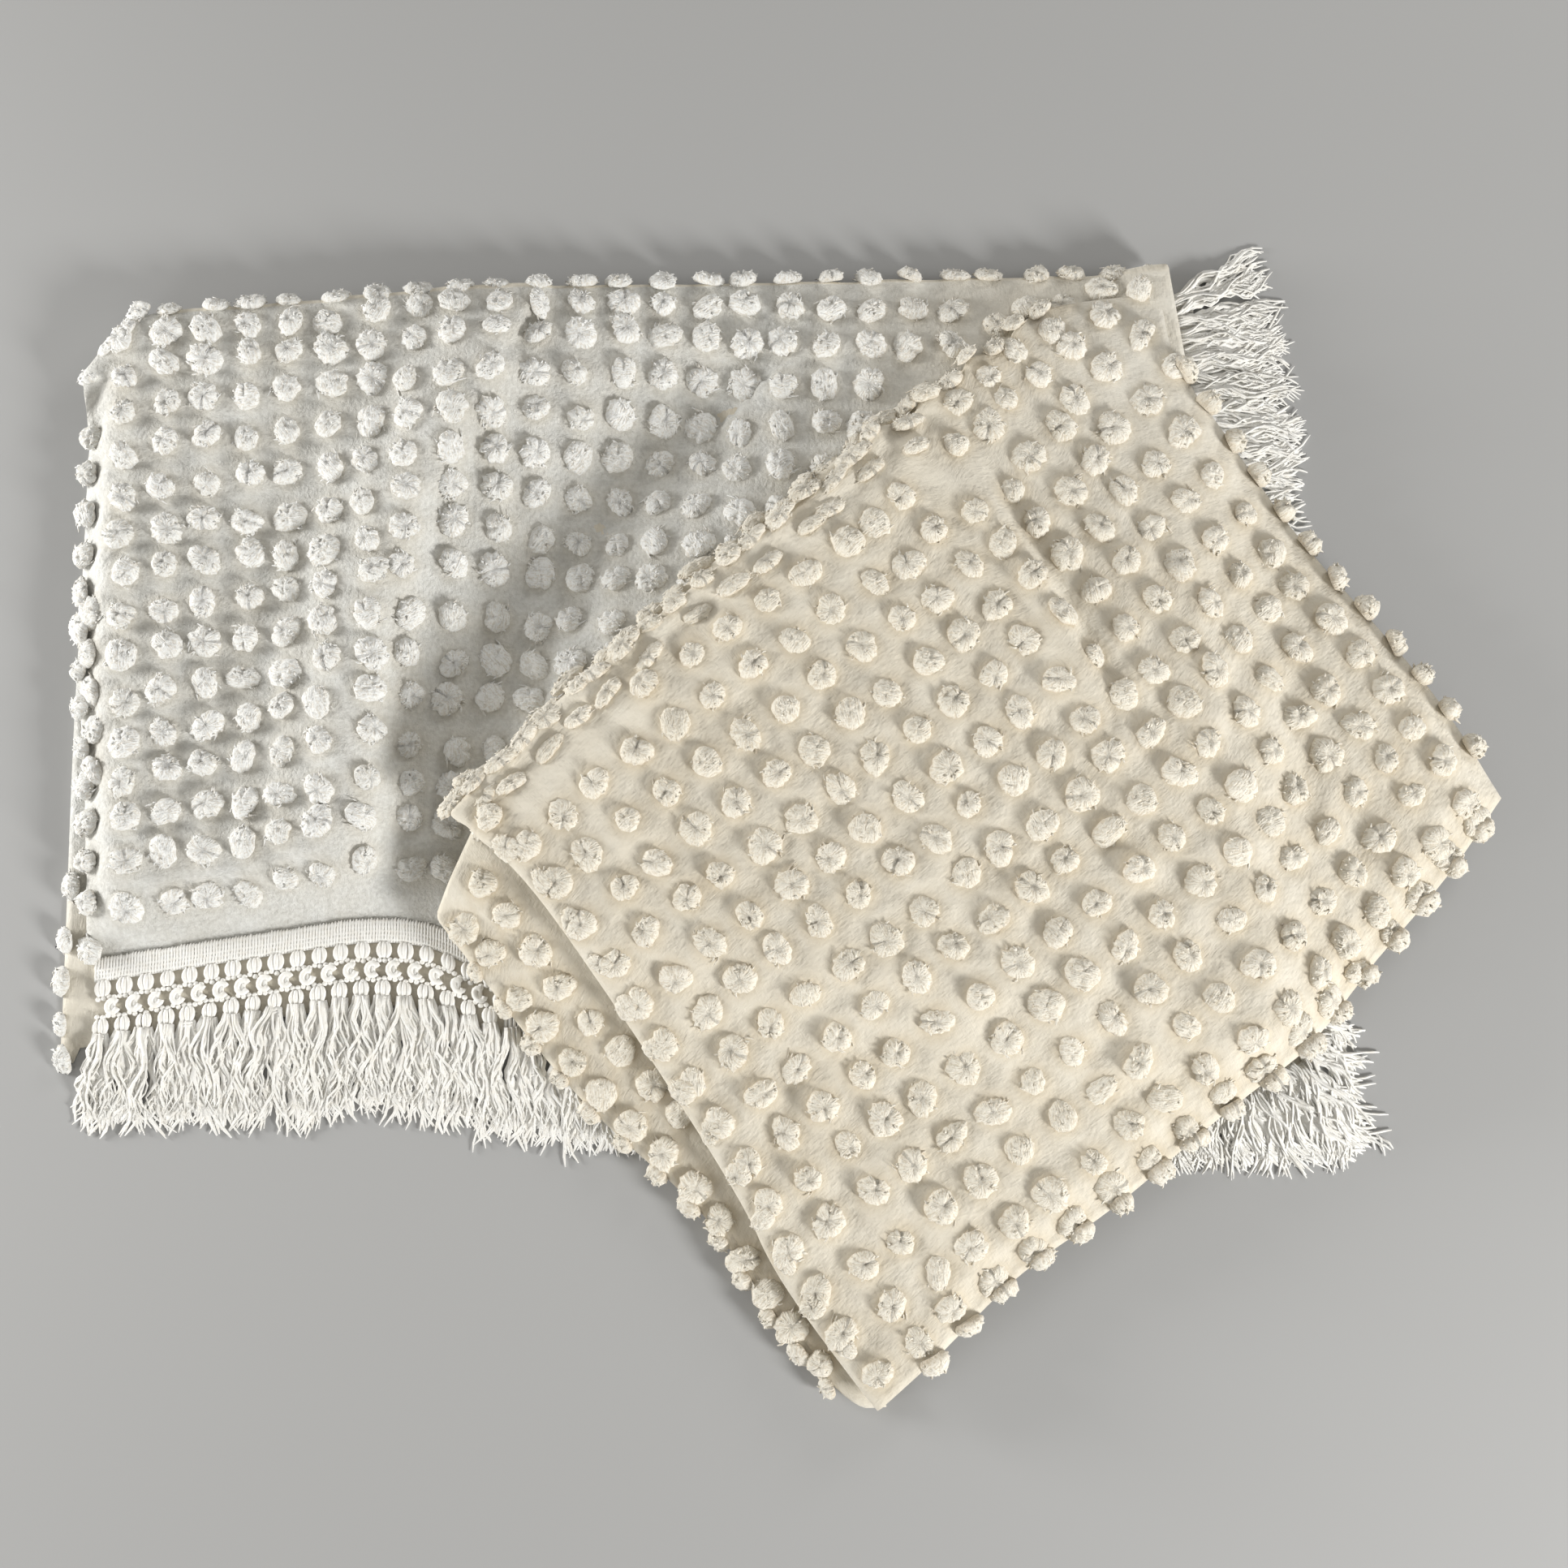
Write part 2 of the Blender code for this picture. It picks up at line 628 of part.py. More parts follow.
# -------------------------------------------------------------------- fringe
def stations(stretches):
    """Column edges along a trim: a lock's width, then the space to the next."""
    marks = []
    kinds = []
    for stretch in stretches:
        count = round((stretch["end"] - stretch["start"]) / stretch["pitch"])
        for index in range(count):
            start = stretch["start"] + index * stretch["pitch"]
            marks += [start, start + LOCK_SHARE * stretch["pitch"]]
            kinds += ["lock", "space"]
    return marks, kinds[:-1]


def edge_reader(points, key, value):
    """Read the cloth's own straight-sided edge, so that the trim lies along it."""
    rows = [{"at": getattr(p, key), "out": getattr(p, value)} for p in points]
    rows.sort(key=lambda row: row["at"])
    return lambda at: look_up(rows, "at", at, "out")


def is_gap(row, column, kinds, marks, open_until):
    """Gaps are staggered: every second lock column, and the others a row down."""
    if kinds[column] != "lock" or column == 0 or marks[column + 1] > open_until:
        return False
    parity = "odd" if (column // 2) % 2 else "even"
    return HEADING_ROWS[row]["gap"] == parity


def knotted_heading(marks, kinds, place, open_until):
    """The flat heading with its gaps cut through; past open_until it is plain."""
    depths = [0.0]
    for row in HEADING_ROWS:
        depths.append(depths[-1] + row["depth"])
    bm = sheet_from_rows([[place(mark, depth) for mark in marks] for depth in depths])
    column_count = len(kinds)
    cell_of = {face: divmod(index, column_count) for index, face in enumerate(bm.faces)}
    gaps = [face for face, (row, column) in cell_of.items() if is_gap(row, column, kinds, marks, open_until)]
    plain_rungs = []
    for edge in bm.edges:
        columns = {cell_of[face][1] for face in edge.link_faces}
        if len(edge.link_faces) == 2 and len(columns) == 1 and marks[min(columns)] > open_until:
            plain_rungs.append(edge)
    bmesh.ops.delete(bm, geom=gaps, context="FACES_ONLY")
    bmesh.ops.dissolve_edges(bm, edges=plain_rungs, use_verts=True)
    body = bmesh.ops.extrude_face_region(bm, geom=list(bm.faces))
    lifted = [item for item in body["geom"] if isinstance(item, bmesh.types.BMVert)]
    bmesh.ops.translate(bm, verts=lifted, vec=(0.0, 0.0, HEADING_THICKNESS))
    bmesh.ops.recalc_face_normals(bm, faces=list(bm.faces))
    return bm


def rim_face(bm, ends):
    """The outer end face of the heading between two points on its rim."""
    for face in bm.faces:
        if all(min((v.co.xy - end.xy).length for end in ends) < RIM_TOLERANCE for v in face.verts):
            return face
    raise ValueError("no rim face between the two points")


def draw_lock(bm, ends, direction, length):
    """Draw a tapered, four-sided lock out of the rim, level on the floor."""
    tip = rim_face(bm, ends)
    centre = (ends[0] + ends[1]) / 2.0
    sideways = (ends[1] - ends[0]) / 2.0
    root = centre
    for section in LOCK_SECTIONS:
        tip = bmesh.ops.extrude_discrete_faces(bm, faces=[tip])["faces"][0]
        moved = root + direction * length * section["reach"]
        for vertex in tip.verts:
            side = 1.0 if (vertex.co.xy - centre.xy).dot(sideways.xy) > 0.0 else -1.0
            spot = moved + sideways * side * section["width"]
            level = section["top"] if vertex.co.z > 0.0 else 0.0
            vertex.co = Vector((spot.x, spot.y, level))
        centre = moved


def build_fringe(name, parts, material, stretches, place, strand, open_until):
    """Heading, then one lock from each lock column, as a single body."""
    marks, kinds = stations(stretches)
    bm = knotted_heading(marks, kinds, place, open_until)
    depth = sum(row["depth"] for row in HEADING_ROWS)
    rng = random.Random(SEED)
    for column, kind in enumerate(kinds):
        if kind == "lock":
            ends = [place(marks[column], depth), place(marks[column + 1], depth)]
            direction, length = strand((marks[column] + marks[column + 1]) / 2.0)
            draw_lock(bm, ends, direction, length * (1.0 + rng.uniform(-LENGTH_WAVER, LENGTH_WAVER)))
    bmesh.ops.recalc_face_normals(bm, faces=list(bm.faces))
    mesh_data = bpy.data.meshes.new(name)
    bm.to_mesh(mesh_data)
    bm.free()
    return add_object(name, mesh_data, parts, material)


def build_front_fringe(parts, material):
    """The fringe along the trimmed front edge, its knotted gaps cut where they show."""
    top = BASE_LAYERS[0]
    edge = edge_reader([base_point(top, u, 0.0) for u in base_columns()], "x", "y")
    heading = sum(row["depth"] for row in HEADING_ROWS)

    def place(x, depth):
        scale = look_up(FRONT_FRINGE, "x", x, "scale")
        return Vector((x, edge(x) - SEAT_GAP - depth * scale, 0.0))

    def strand(x):
        lean = math.radians(look_up(FRONT_FRINGE, "x", x, "lean"))
        root_y = edge(x) - heading * look_up(FRONT_FRINGE, "x", x, "scale")
        drop = root_y - look_up(FRONT_FRINGE, "x", x, "tip_y")
        return Vector((math.sin(lean), -math.cos(lean), 0.0)), drop / math.cos(lean)

    return build_fringe("fringe_front", parts, material, FRONT_STRETCHES, place, strand, OPEN_HEADING_END)


def build_side_fringe(parts, material):
    """The fringe along the right edge, with a narrow plain heading."""
    top = BASE_LAYERS[0]
    edge = edge_reader([base_point(top, 1.0, v) for v in top_rows()], "y", "x")
    heading = sum(row["depth"] for row in HEADING_ROWS)
    before_start = SIDE_STRETCHES[0]["start"] - 1.0

    def place(y, depth):
        scale = look_up(SIDE_FRINGE, "y", y, "scale")
        return Vector((edge(y) + SEAT_GAP + depth * scale, y, 0.0))

    def strand(y):
        lean = math.radians(look_up(SIDE_FRINGE, "y", y, "lean"))
        length = look_up(SIDE_FRINGE, "y", y, "reach") - heading * look_up(SIDE_FRINGE, "y", y, "scale")
        return Vector((math.cos(lean), math.sin(lean), 0.0)), length

    return build_fringe("fringe_side", parts, material, SIDE_STRETCHES, place, strand, before_start)


# --------------------------------------------------------------------- build
clear_scene()
PARTS = collection("chenille_bedspread")
CUTTERS = collection("cutters")
build_cloth(PARTS, CUTTERS, cotton("white_cotton", WHITE_COTTON))
FRINGE_YARN = cotton("cream_fringe", CREAM_FRINGE)
build_front_fringe(PARTS, FRINGE_YARN)
build_side_fringe(PARTS, FRINGE_YARN)
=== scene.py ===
import math

import bmesh
import bpy
import numpy as np
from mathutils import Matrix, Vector


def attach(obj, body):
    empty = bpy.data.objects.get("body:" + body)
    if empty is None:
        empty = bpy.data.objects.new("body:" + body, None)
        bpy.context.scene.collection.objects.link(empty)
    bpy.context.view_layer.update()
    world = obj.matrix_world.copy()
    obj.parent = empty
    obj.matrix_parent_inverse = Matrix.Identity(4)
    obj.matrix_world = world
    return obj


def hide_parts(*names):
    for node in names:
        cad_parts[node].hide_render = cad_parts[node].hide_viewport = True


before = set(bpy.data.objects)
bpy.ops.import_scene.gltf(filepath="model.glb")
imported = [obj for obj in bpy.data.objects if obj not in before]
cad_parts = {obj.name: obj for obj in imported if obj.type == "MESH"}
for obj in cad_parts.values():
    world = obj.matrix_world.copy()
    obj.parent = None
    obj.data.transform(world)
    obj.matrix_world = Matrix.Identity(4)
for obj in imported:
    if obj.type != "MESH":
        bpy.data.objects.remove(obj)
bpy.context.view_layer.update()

# ------------------------------------------------------------ table, camera and lights
# The folded spread lies on a plain pale table top and is seen from almost
# straight above.  The main lamp is low at the front right, and weaker ones at
# the left, the front left and the back soften its shadows.
CAMERA_PLACE = (0.0, -0.24216, 1.77307)
CAMERA_TILT = math.radians(8.0)
CAMERA_LENS = 43.46
CAMERA_SENSOR = 36.0
TABLE_SIZE = 9.0
TABLE_Z = -0.0006
TABLE_COLOUR = (0.40, 0.40, 0.395)
TABLE_ROUGHNESS = 0.7
ROOM_COLOUR = (1.0, 0.974, 0.928)
ROOM_STRENGTH = 0.34
LAMP_COLOUR = (1.0, 0.997, 0.99)
LAMPS = [
    {"name": "lamp_right", "place": (3.10, -2.40, 1.75), "aim": (0.35, -0.05, 0.0),
     "size": 1.10, "watts": 178.0},
    {"name": "lamp_left", "place": (-2.80, 0.45, 0.64), "aim": (-0.45, 0.10, 0.0),
     "size": 1.00, "watts": 69.0},
    {"name": "lamp_front_left", "place": (-2.30, -1.60, 1.00), "aim": (-0.45, 0.10, 0.0),
     "size": 1.00, "watts": 14.0},
    {"name": "lamp_back", "place": (2.10, 2.35, 1.55), "aim": (0.25, 0.20, 0.0),
     "size": 1.00, "watts": 21.0},
]


def placed(name, data):
    """Something set in the scene."""
    thing = bpy.data.objects.new(name, data)
    bpy.context.scene.collection.objects.link(thing)
    return thing


def plain_finish(name, colour, roughness):
    finish = bpy.data.materials.new(name)
    finish.use_nodes = True
    shader = finish.node_tree.nodes["Principled BSDF"]
    shader.inputs["Base Color"].default_value = (*colour, 1.0)
    shader.inputs["Roughness"].default_value = roughness
    return finish


table_mesh = bpy.data.meshes.new("table_top")
bm = bmesh.new()
bmesh.ops.create_grid(bm, x_segments=1, y_segments=1, size=TABLE_SIZE / 2.0)
bmesh.ops.translate(bm, verts=bm.verts, vec=(0.0, 0.0, TABLE_Z))
bm.to_mesh(table_mesh)
bm.free()
table_mesh.materials.append(plain_finish("table_paint", TABLE_COLOUR, TABLE_ROUGHNESS))
table_top = placed("table_top", table_mesh)

camera_data = bpy.data.cameras.new("camera")
camera_data.lens = CAMERA_LENS
camera_data.sensor_width = CAMERA_SENSOR
camera = placed("camera", camera_data)
camera.location = CAMERA_PLACE
camera.rotation_euler = (CAMERA_TILT, 0.0, 0.0)
bpy.context.scene.camera = camera

for lamp in LAMPS:
    light = bpy.data.lights.new(lamp["name"], "AREA")
    light.shape = "DISK"
    light.size = lamp["size"]
    light.energy = lamp["watts"]
    light.color = LAMP_COLOUR
    holder = placed(lamp["name"], light)
    holder.location = lamp["place"]
    away = Vector(lamp["aim"]) - Vector(lamp["place"])
    holder.rotation_euler = away.to_track_quat("-Z", "Y").to_euler()

room = bpy.data.worlds.new("soft_room")
room.use_nodes = True
room.node_tree.nodes["Background"].inputs["Color"].default_value = (*ROOM_COLOUR, 1.0)
room.node_tree.nodes["Background"].inputs["Strength"].default_value = ROOM_STRENGTH
bpy.context.scene.world = room
bpy.context.scene.view_settings.view_transform = "Standard"

# ------------------------------------------------------------------ the ground cloth
# One wide cotton sheet.  Half of it is folded back and forth into the base,
# white and napped; the rest is folded into the slanted pack, a smooth cream
# plain weave, that lies across the base and droops to the table at two corners.
CLOTH_THICKNESS = 0.0020
WHITE_CLOTH = (0.765, 0.765, 0.732)
CREAM_CLOTH = (0.760, 0.712, 0.606)
# Painted shade, warmer and darker, on the cloth close round the tufts' roots.
ROOT_SHADE = (0.86, 0.81, 0.73)
BASE_CELLS = (186, 100)
PACK_CELLS = (98, 128)
FOLD_STEPS = 8
HIDDEN_FOLD_STEPS = 4
HIDDEN_ROWS = 12

FRONT_EDGE = [
    (-0.670, -0.163), (-0.495, -0.136), (-0.347, -0.114), (-0.270, -0.156),
    (-0.100, -0.190), (0.300, -0.246), (0.490, -0.262),
]
FAR_EDGE = [
    (-0.672, 0.392), (-0.645, 0.430), (-0.614, 0.457), (-0.480, 0.464), (-0.286, 0.485),
    (0.183, 0.497), (0.400, 0.499),
]
LEFT_EDGE_FRONT = -0.648
LEFT_EDGE_FAR = -0.669
LEFT_EDGE_BEND = 1.6
RIGHT_EDGE_FRONT = 0.481
RIGHT_EDGE_FAR = 0.371
TOP_Z = 0.0370
UNDER_LAYERS = [
    {"name": "second", "z": 0.0250, "left": 0.034, "right": 0.085, "setback": 0.104, "far": 0.000},
    {"name": "third", "z": 0.0130, "left": 0.030, "right": 0.085, "setback": 0.104, "far": 0.004},
    {"name": "bottom", "z": 0.0013, "left": -0.004, "right": 0.070, "setback": 0.075, "far": 0.004},
]
LINED_UP = (0.55, 0.88)
LINED_UP_INSET = 0.006
LEFT_LINED_UP_START = 0.88
TONGUE_OUT = 0.018
TONGUE_WIDTH = 0.014
TONGUE_FRONT = -0.254
TONGUE_SLANT = 1.5
UNDER_TRIM = 0.080
UNDER_TRIM_ENDS = (-0.20, -0.10)
LOWEST_CLOTH = 0.0011
MARGIN_ROLL = 0.026
ROLL_WIDTH = 0.034
SLOPE_WIDTH = 0.085
FAR_ROLL = (0.003, 0.017)
FAR_ROLL_WIDTH = 0.085
FAR_ROLL_GROWS = (-0.45, 0.05)
EDGE_SLOPE = [
    {"inside": 0.000, "z": 0.0022},
    {"inside": 0.006, "z": 0.0024},
    {"inside": 0.030, "z": 0.0180},
    {"inside": 0.060, "z": 0.0330},
    {"inside": 0.085, "z": 0.0370},
]
# Waves of the napped top layer, and the low swell along each of its rows of tufts.
BASE_WAVES = [
    {"lift": 0.0013, "size": 0.085, "seed": 3},
    {"lift": 0.0008, "size": 0.034, "seed": 5},
]
ROW_SWELL = {"lift": 0.0032, "width": 0.0085}
WAVE_COUNT = 7
WAVE_SHARE = 4.0
# Soft ridges and troughs of the base's top layer, each along a line that is
# walked from the front to the far side.  The long ridge falls away steeply on its right.
BASE_FOLDS = [
    {"line": [(-0.414, -0.090), (-0.399, 0.000), (-0.395, 0.110), (-0.364, 0.248), (-0.331, 0.318),
              (-0.280, 0.400)],
     "lift": 0.0225, "left_width": 0.046, "right_width": 0.021},
    {"line": [(-0.300, -0.060), (-0.290, 0.000), (-0.262, 0.100), (-0.205, 0.205), (-0.145, 0.285),
              (-0.080, 0.340)],
     "lift": -0.0290, "left_width": 0.058, "right_width": 0.036},
    {"line": [(-0.200, 0.240), (-0.120, 0.330), (-0.020, 0.400)],
     "lift": -0.0050, "left_width": 0.040, "right_width": 0.040},
    {"line": [(-0.540, 0.000), (-0.500, 0.120), (-0.470, 0.260)],
     "lift": -0.0050, "left_width": 0.040, "right_width": 0.040},
]


def ease(value):
    """A smooth step: 0 up to 0, 1 from 1 on."""
    value = np.clip(value, 0.0, 1.0)
    return value * value * (3.0 - 2.0 * value)


def mix(start, end, share):
    return start + (end - start) * share


def bell(value):
    return np.exp(-0.5 * value ** 2)


def step_between(ends, value):
    """An eased step that starts at the first end and is full at the second."""
    return ease((value - ends[0]) / (ends[1] - ends[0]))


def read(table, key, wanted, at):
    return np.interp(at, [row[key] for row in table], [row[wanted] for row in table])


def softened(points, cuts=3):
    """The line through given points with its corners cut round."""
    line = np.array(points, float)
    for _ in range(cuts):
        near = 0.75 * line[:-1] + 0.25 * line[1:]
        far = 0.25 * line[:-1] + 0.75 * line[1:]
        inner = np.stack([near, far], axis=1).reshape(-1, line.shape[1])
        line = np.vstack([line[:1], inner, line[-1:]])
    return line


def along(line, share):
    """Points at shares of a line's length."""
    steps = np.linalg.norm(np.diff(line, axis=0), axis=1)
    reached = np.concatenate([[0.0], np.cumsum(steps)])
    at = np.asarray(share) * reached[-1]
    return np.stack([np.interp(at, reached, line[:, axis]) for axis in range(line.shape[1])], axis=-1)


def distance_to(line, x, y):
    """Distance from places to a line, and the side: + is to the line's left."""
    nearest = np.full(np.shape(x), 10.0)
    side = np.zeros(np.shape(x))
    for start, end in zip(line, line[1:]):
        run = end - start
        share = np.clip(((x - start[0]) * run[0] + (y - start[1]) * run[1]) / (run @ run), 0.0, 1.0)
        dx, dy = x - start[0] - run[0] * share, y - start[1] - run[1] * share
        gap = np.hypot(dx, dy)
        closer = gap < nearest
        side = np.where(closer, np.sign(run[0] * dy - run[1] * dx), side)
        nearest = np.where(closer, gap, nearest)
    return nearest, side


def rolling(x, y, size, seed):
    """Gentle uneven waves of about the given size, from -1 to 1."""
    rng = np.random.default_rng(seed)
    total = np.zeros(np.shape(x))
    for _ in range(WAVE_COUNT):
        angle = rng.uniform(0.0, math.tau)
        pitch = size * rng.uniform(0.7, 1.5)
        begin = rng.uniform(0.0, math.tau)
        total = total + np.sin((x * math.cos(angle) + y * math.sin(angle)) * math.tau / pitch + begin)
    return total / WAVE_SHARE


def waves_of(table, x, y):
    return sum(wave["lift"] * rolling(x, y, wave["size"], wave["seed"]) for wave in table)


front_line = softened(FRONT_EDGE)
far_line = softened(FAR_EDGE)


def front_y(x):
    return np.interp(x, front_line[:, 0], front_line[:, 1])


def far_y(x):
    return np.interp(x, far_line[:, 0], far_line[:, 1])


def left_x(share):
    return mix(LEFT_EDGE_FRONT, LEFT_EDGE_FAR, ease(share * LEFT_EDGE_BEND))


def right_x(share):
    return mix(RIGHT_EDGE_FRONT, RIGHT_EDGE_FAR, share)


def right_share(y):
    low = front_y(RIGHT_EDGE_FRONT)
    return (y - low) / (far_y(RIGHT_EDGE_FAR) - low)


def lined_up(share):
    """How far the layers' right edges have come together, towards the far fold."""
    return step_between(LINED_UP, share)


def left_lined_up(share):
    return step_between((LEFT_LINED_UP_START, 1.0), share)


# Each row of tufts across the base, as its distances in from the far fold at
# six stations from left to right.  Rows bend where the cloth is rucked.
ROW_DRIFT = 0.07
ROW_STATIONS = [-0.63, -0.47, -0.39, -0.32, -0.16, -0.04]
ROWS_IN = [
    [0.014, 0.020, 0.015, 0.015, 0.019, 0.021],
    [0.049, 0.047, 0.047, 0.046, 0.046, 0.060],
    [0.087, 0.086, 0.086, 0.088, 0.085, 0.100],
    [0.129, 0.127, 0.126, 0.123, 0.127, 0.142],
    [0.172, 0.168, 0.165, 0.161, 0.166, 0.183],
    [0.210, 0.207, 0.208, 0.193, 0.209, 0.229],
    [0.248, 0.246, 0.247, 0.230, 0.255, 0.265],
    [0.291, 0.282, 0.280, 0.269, 0.291, 0.305],
    [0.330, 0.323, 0.314, 0.313, 0.333, 0.345],
    [0.372, 0.359, 0.350, 0.356, 0.372, 0.385],
    [0.410, 0.398, 0.388, 0.394, 0.408, 0.420],
    [0.448, 0.436, 0.427, 0.440, 0.448, 0.455],
    [0.485, 0.476, 0.467, 0.479, 0.486, 0.490],
    [0.524, 0.515, 0.500, 0.516, 0.524, 0.528],
    [0.569, 0.556, 0.543, 0.555, 0.562, 0.566],
]


def base_row_y(row, x):
    """How far up the base a row of tufts crosses a given x."""
    past = np.clip(np.asarray(x) - ROW_STATIONS[-1], 0.0, 1.0)
    return far_y(x) - np.interp(x, ROW_STATIONS, ROWS_IN[row]) - ROW_DRIFT * past


def base_swell(x, y):
    """The long ridge and troughs of the base alone, which its lower layers follow."""
    swell = np.zeros(np.shape(x))
    for fold in BASE_FOLDS:
        gap, side = distance_to(softened(fold["line"]), x, y)
        width = np.where(side > 0.0, fold["left_width"], fold["right_width"])
        swell = swell + fold["lift"] * bell(gap / width)
    return swell


def far_roll(x, y):
    """How far the base has rolled down by its far fold; more to the right."""
    depth = mix(FAR_ROLL[0], FAR_ROLL[1], step_between(FAR_ROLL_GROWS, x))
    return depth * (1.0 - ease((far_y(x) - y) / FAR_ROLL_WIDTH))


def base_relief(x, y):
    relief = waves_of(BASE_WAVES, x, y) + base_swell(x, y) - far_roll(x, y)
    for row in range(len(ROWS_IN)):
        relief = relief + ROW_SWELL["lift"] * bell((y - base_row_y(row, x)) / ROW_SWELL["width"])
    return relief


def base_top(across, share):
    """The base's top layer: across runs left to right, share front to far."""
    x = mix(left_x(share), right_x(share), across)
    front, far = front_y(x), far_y(x)
    y = mix(front, far, share)
    from_right = right_x(share) - x
    sloped = mix(read(EDGE_SLOPE, "inside", "z", from_right), TOP_Z, lined_up(share))
    sloped = np.minimum(sloped, read(EDGE_SLOPE, "inside", "z", y - front))
    inside = np.minimum(y - front, from_right)
    z = sloped + base_relief(x, y) * ease(inside / SLOPE_WIDTH)
    roll = 1.0 - ease((x - left_x(share)) / ROLL_WIDTH)
    z = z - MARGIN_ROLL * roll * ease((y - front) / SLOPE_WIDTH) * (1.0 - left_lined_up(share))
    return np.stack([x, y, z], axis=-1)


def base_under(layer, across, share):
    """A hidden layer of the base."""
    left = left_x(share) + mix(layer["left"], 0.0, left_lined_up(share))
    right = right_x(share) - mix(layer["right"], min(layer["right"], LINED_UP_INSET), lined_up(share))
    if layer["name"] == "bottom":
        left = left - TONGUE_OUT * (1.0 - ease(share * TONGUE_SLANT))
    x = mix(left, right, across)
    front = front_y(x) + layer["setback"]
    if layer["name"] == "bottom":
        front = front - (layer["setback"] + UNDER_TRIM) * (1.0 - step_between(UNDER_TRIM_ENDS, x))
        front = np.where(across < TONGUE_WIDTH, TONGUE_FRONT, front)
    y = mix(front, far_y(x) - layer["far"], share)
    sunk = np.minimum(base_swell(x, y), 0.0) * ease((y - front_y(x)) / SLOPE_WIDTH) - far_roll(x, y)
    z = np.maximum(layer["z"] * (1.0 + np.minimum(sunk, 0.0) / TOP_Z), LOWEST_CLOTH)
    return np.stack([x, y, z], axis=-1)


def fold_arc(upper, lower, outward, steps):
    """Rows of points round a fold, from the upper layer to the lower one."""
    middle, half = (upper + lower) / 2.0, (upper - lower) / 2.0
    radius = np.linalg.norm(half, axis=-1, keepdims=True)
    angles = [math.pi * step / steps for step in range(1, steps)]
    return np.stack([middle + half * math.cos(a) + outward * radius * math.sin(a) for a in angles])


def base_sheet():
    """Every row of the back-and-forth base, from its trimmed front edge inwards."""
    across = np.linspace(0.0, 1.0, BASE_CELLS[0] + 1)
    shares = np.linspace(0.0, 1.0, BASE_CELLS[1] + 1)
    hidden = np.linspace(0.0, 1.0, HIDDEN_ROWS + 1)
    away = np.array([0.0, 1.0, 0.0])
    layers = [base_top(*np.meshgrid(across, shares))]
    for layer, order in zip(UNDER_LAYERS, (hidden[::-1], hidden, hidden[::-1])):
        layers.append(base_under(layer, *np.meshgrid(across, order)))
    rows = [layers[0]]
    steps_at = (FOLD_STEPS, HIDDEN_FOLD_STEPS, HIDDEN_FOLD_STEPS)
    for upper, lower, outward, steps in zip(layers, layers[1:], (away, -away, away), steps_at):
        rows += [fold_arc(upper[-1], lower[0], outward, steps), lower]
    return np.concatenate(rows)


# The slanted pack.  Its underside follows what it lies on, beyond the base's
# edge: PACK_SUPPORT at the front, HIGH_PACK_SUPPORT where the layers are lined up.
PACK_SUPPORT = [
    {"beyond": -0.110, "z": 0.0428},
    {"beyond": -0.040, "z": 0.0410},
    {"beyond": 0.000, "z": 0.0270},
    {"beyond": 0.035, "z": 0.0140},
    {"beyond": 0.070, "z": 0.0095},
    {"beyond": 0.120, "z": 0.0075},
    {"beyond": 0.170, "z": 0.0065},
    {"beyond": 0.215, "z": 0.0004},
]
HIGH_PACK_SUPPORT = [
    {"beyond": 0.000, "z": 0.0428},
    {"beyond": 0.020, "z": 0.0370},
    {"beyond": 0.070, "z": 0.0150},
    {"beyond": 0.120, "z": 0.0085},
    {"beyond": 0.170, "z": 0.0065},
    {"beyond": 0.215, "z": 0.0004},
]
PACK_UPPER_LEFT = softened([
    (-0.295, -0.031), (-0.231, 0.043), (-0.137, 0.125), (-0.049, 0.201),
    (0.025, 0.262), (0.062, 0.290), (0.088, 0.334), (0.122, 0.334), (0.134, 0.370),
    (0.168, 0.372), (0.174, 0.408), (0.212, 0.412), (0.222, 0.444), (0.264, 0.466), (0.362, 0.478),
])
PACK_LOWER_RIGHT = softened([
    (0.088, -0.554), (0.154, -0.497), (0.219, -0.434), (0.300, -0.382),
    (0.390, -0.305), (0.487, -0.228), (0.540, -0.162), (0.606, -0.092), (0.668, -0.010),
])
PACK_LOWER_LEFT = softened([
    (-0.295, -0.031), (-0.229, -0.078), (-0.119, -0.239), (-0.030, -0.375),
    (-0.004, -0.435), (0.064, -0.525), (0.088, -0.554),
])
PACK_UPPER_RIGHT = softened([
    (0.362, 0.478), (0.368, 0.402), (0.430, 0.324), (0.500, 0.224),
    (0.548, 0.165), (0.622, 0.070), (0.668, -0.010),
])
BAND_LOWER_LEFT = softened([
    (-0.312, -0.120), (-0.230, -0.229), (-0.163, -0.304), (-0.076, -0.376),
    (-0.011, -0.474), (0.058, -0.556), (0.088, -0.554),
])
FAR_CORNER = np.array([0.362, 0.478])
INNER_FAR_CORNER = (0.195, 0.385)
INNER_RIGHT_CORNER = (0.618, -0.022)
UNDER_INSET = np.array([-0.023, 0.026])
UNDER_FLAP_UPPER_LEFT = [(-0.229, 0.041), (-0.135, 0.123), (-0.047, 0.199), (0.027, 0.260), (0.100, 0.335)]
BAND_UPPER_LEFT = [
    (-0.289, -0.066), (-0.240, 0.040), (-0.145, 0.132), (-0.057, 0.209), (0.018, 0.271), (0.094, 0.346),
]
UNDER_UPPER_RIGHT_MIDDLE = [(0.400, 0.290), (0.510, 0.165)]
LIP_TUCK = 0.008
LIP_TURNS = [180.0, 135.0, 90.0, 45.0]
LIP_DROP = (0.0030, 0.0125)
LIP_CLEARANCE = 0.0025
BAND_SHOWS = (0.28, 24)
PLAIN_EDGE_STEP = 0.0004
FAR_DROP = (0.100, 0.360)
FAR_CORNER_HEIGHT = 0.0035
FLAP_HEIGHT = 0.0400
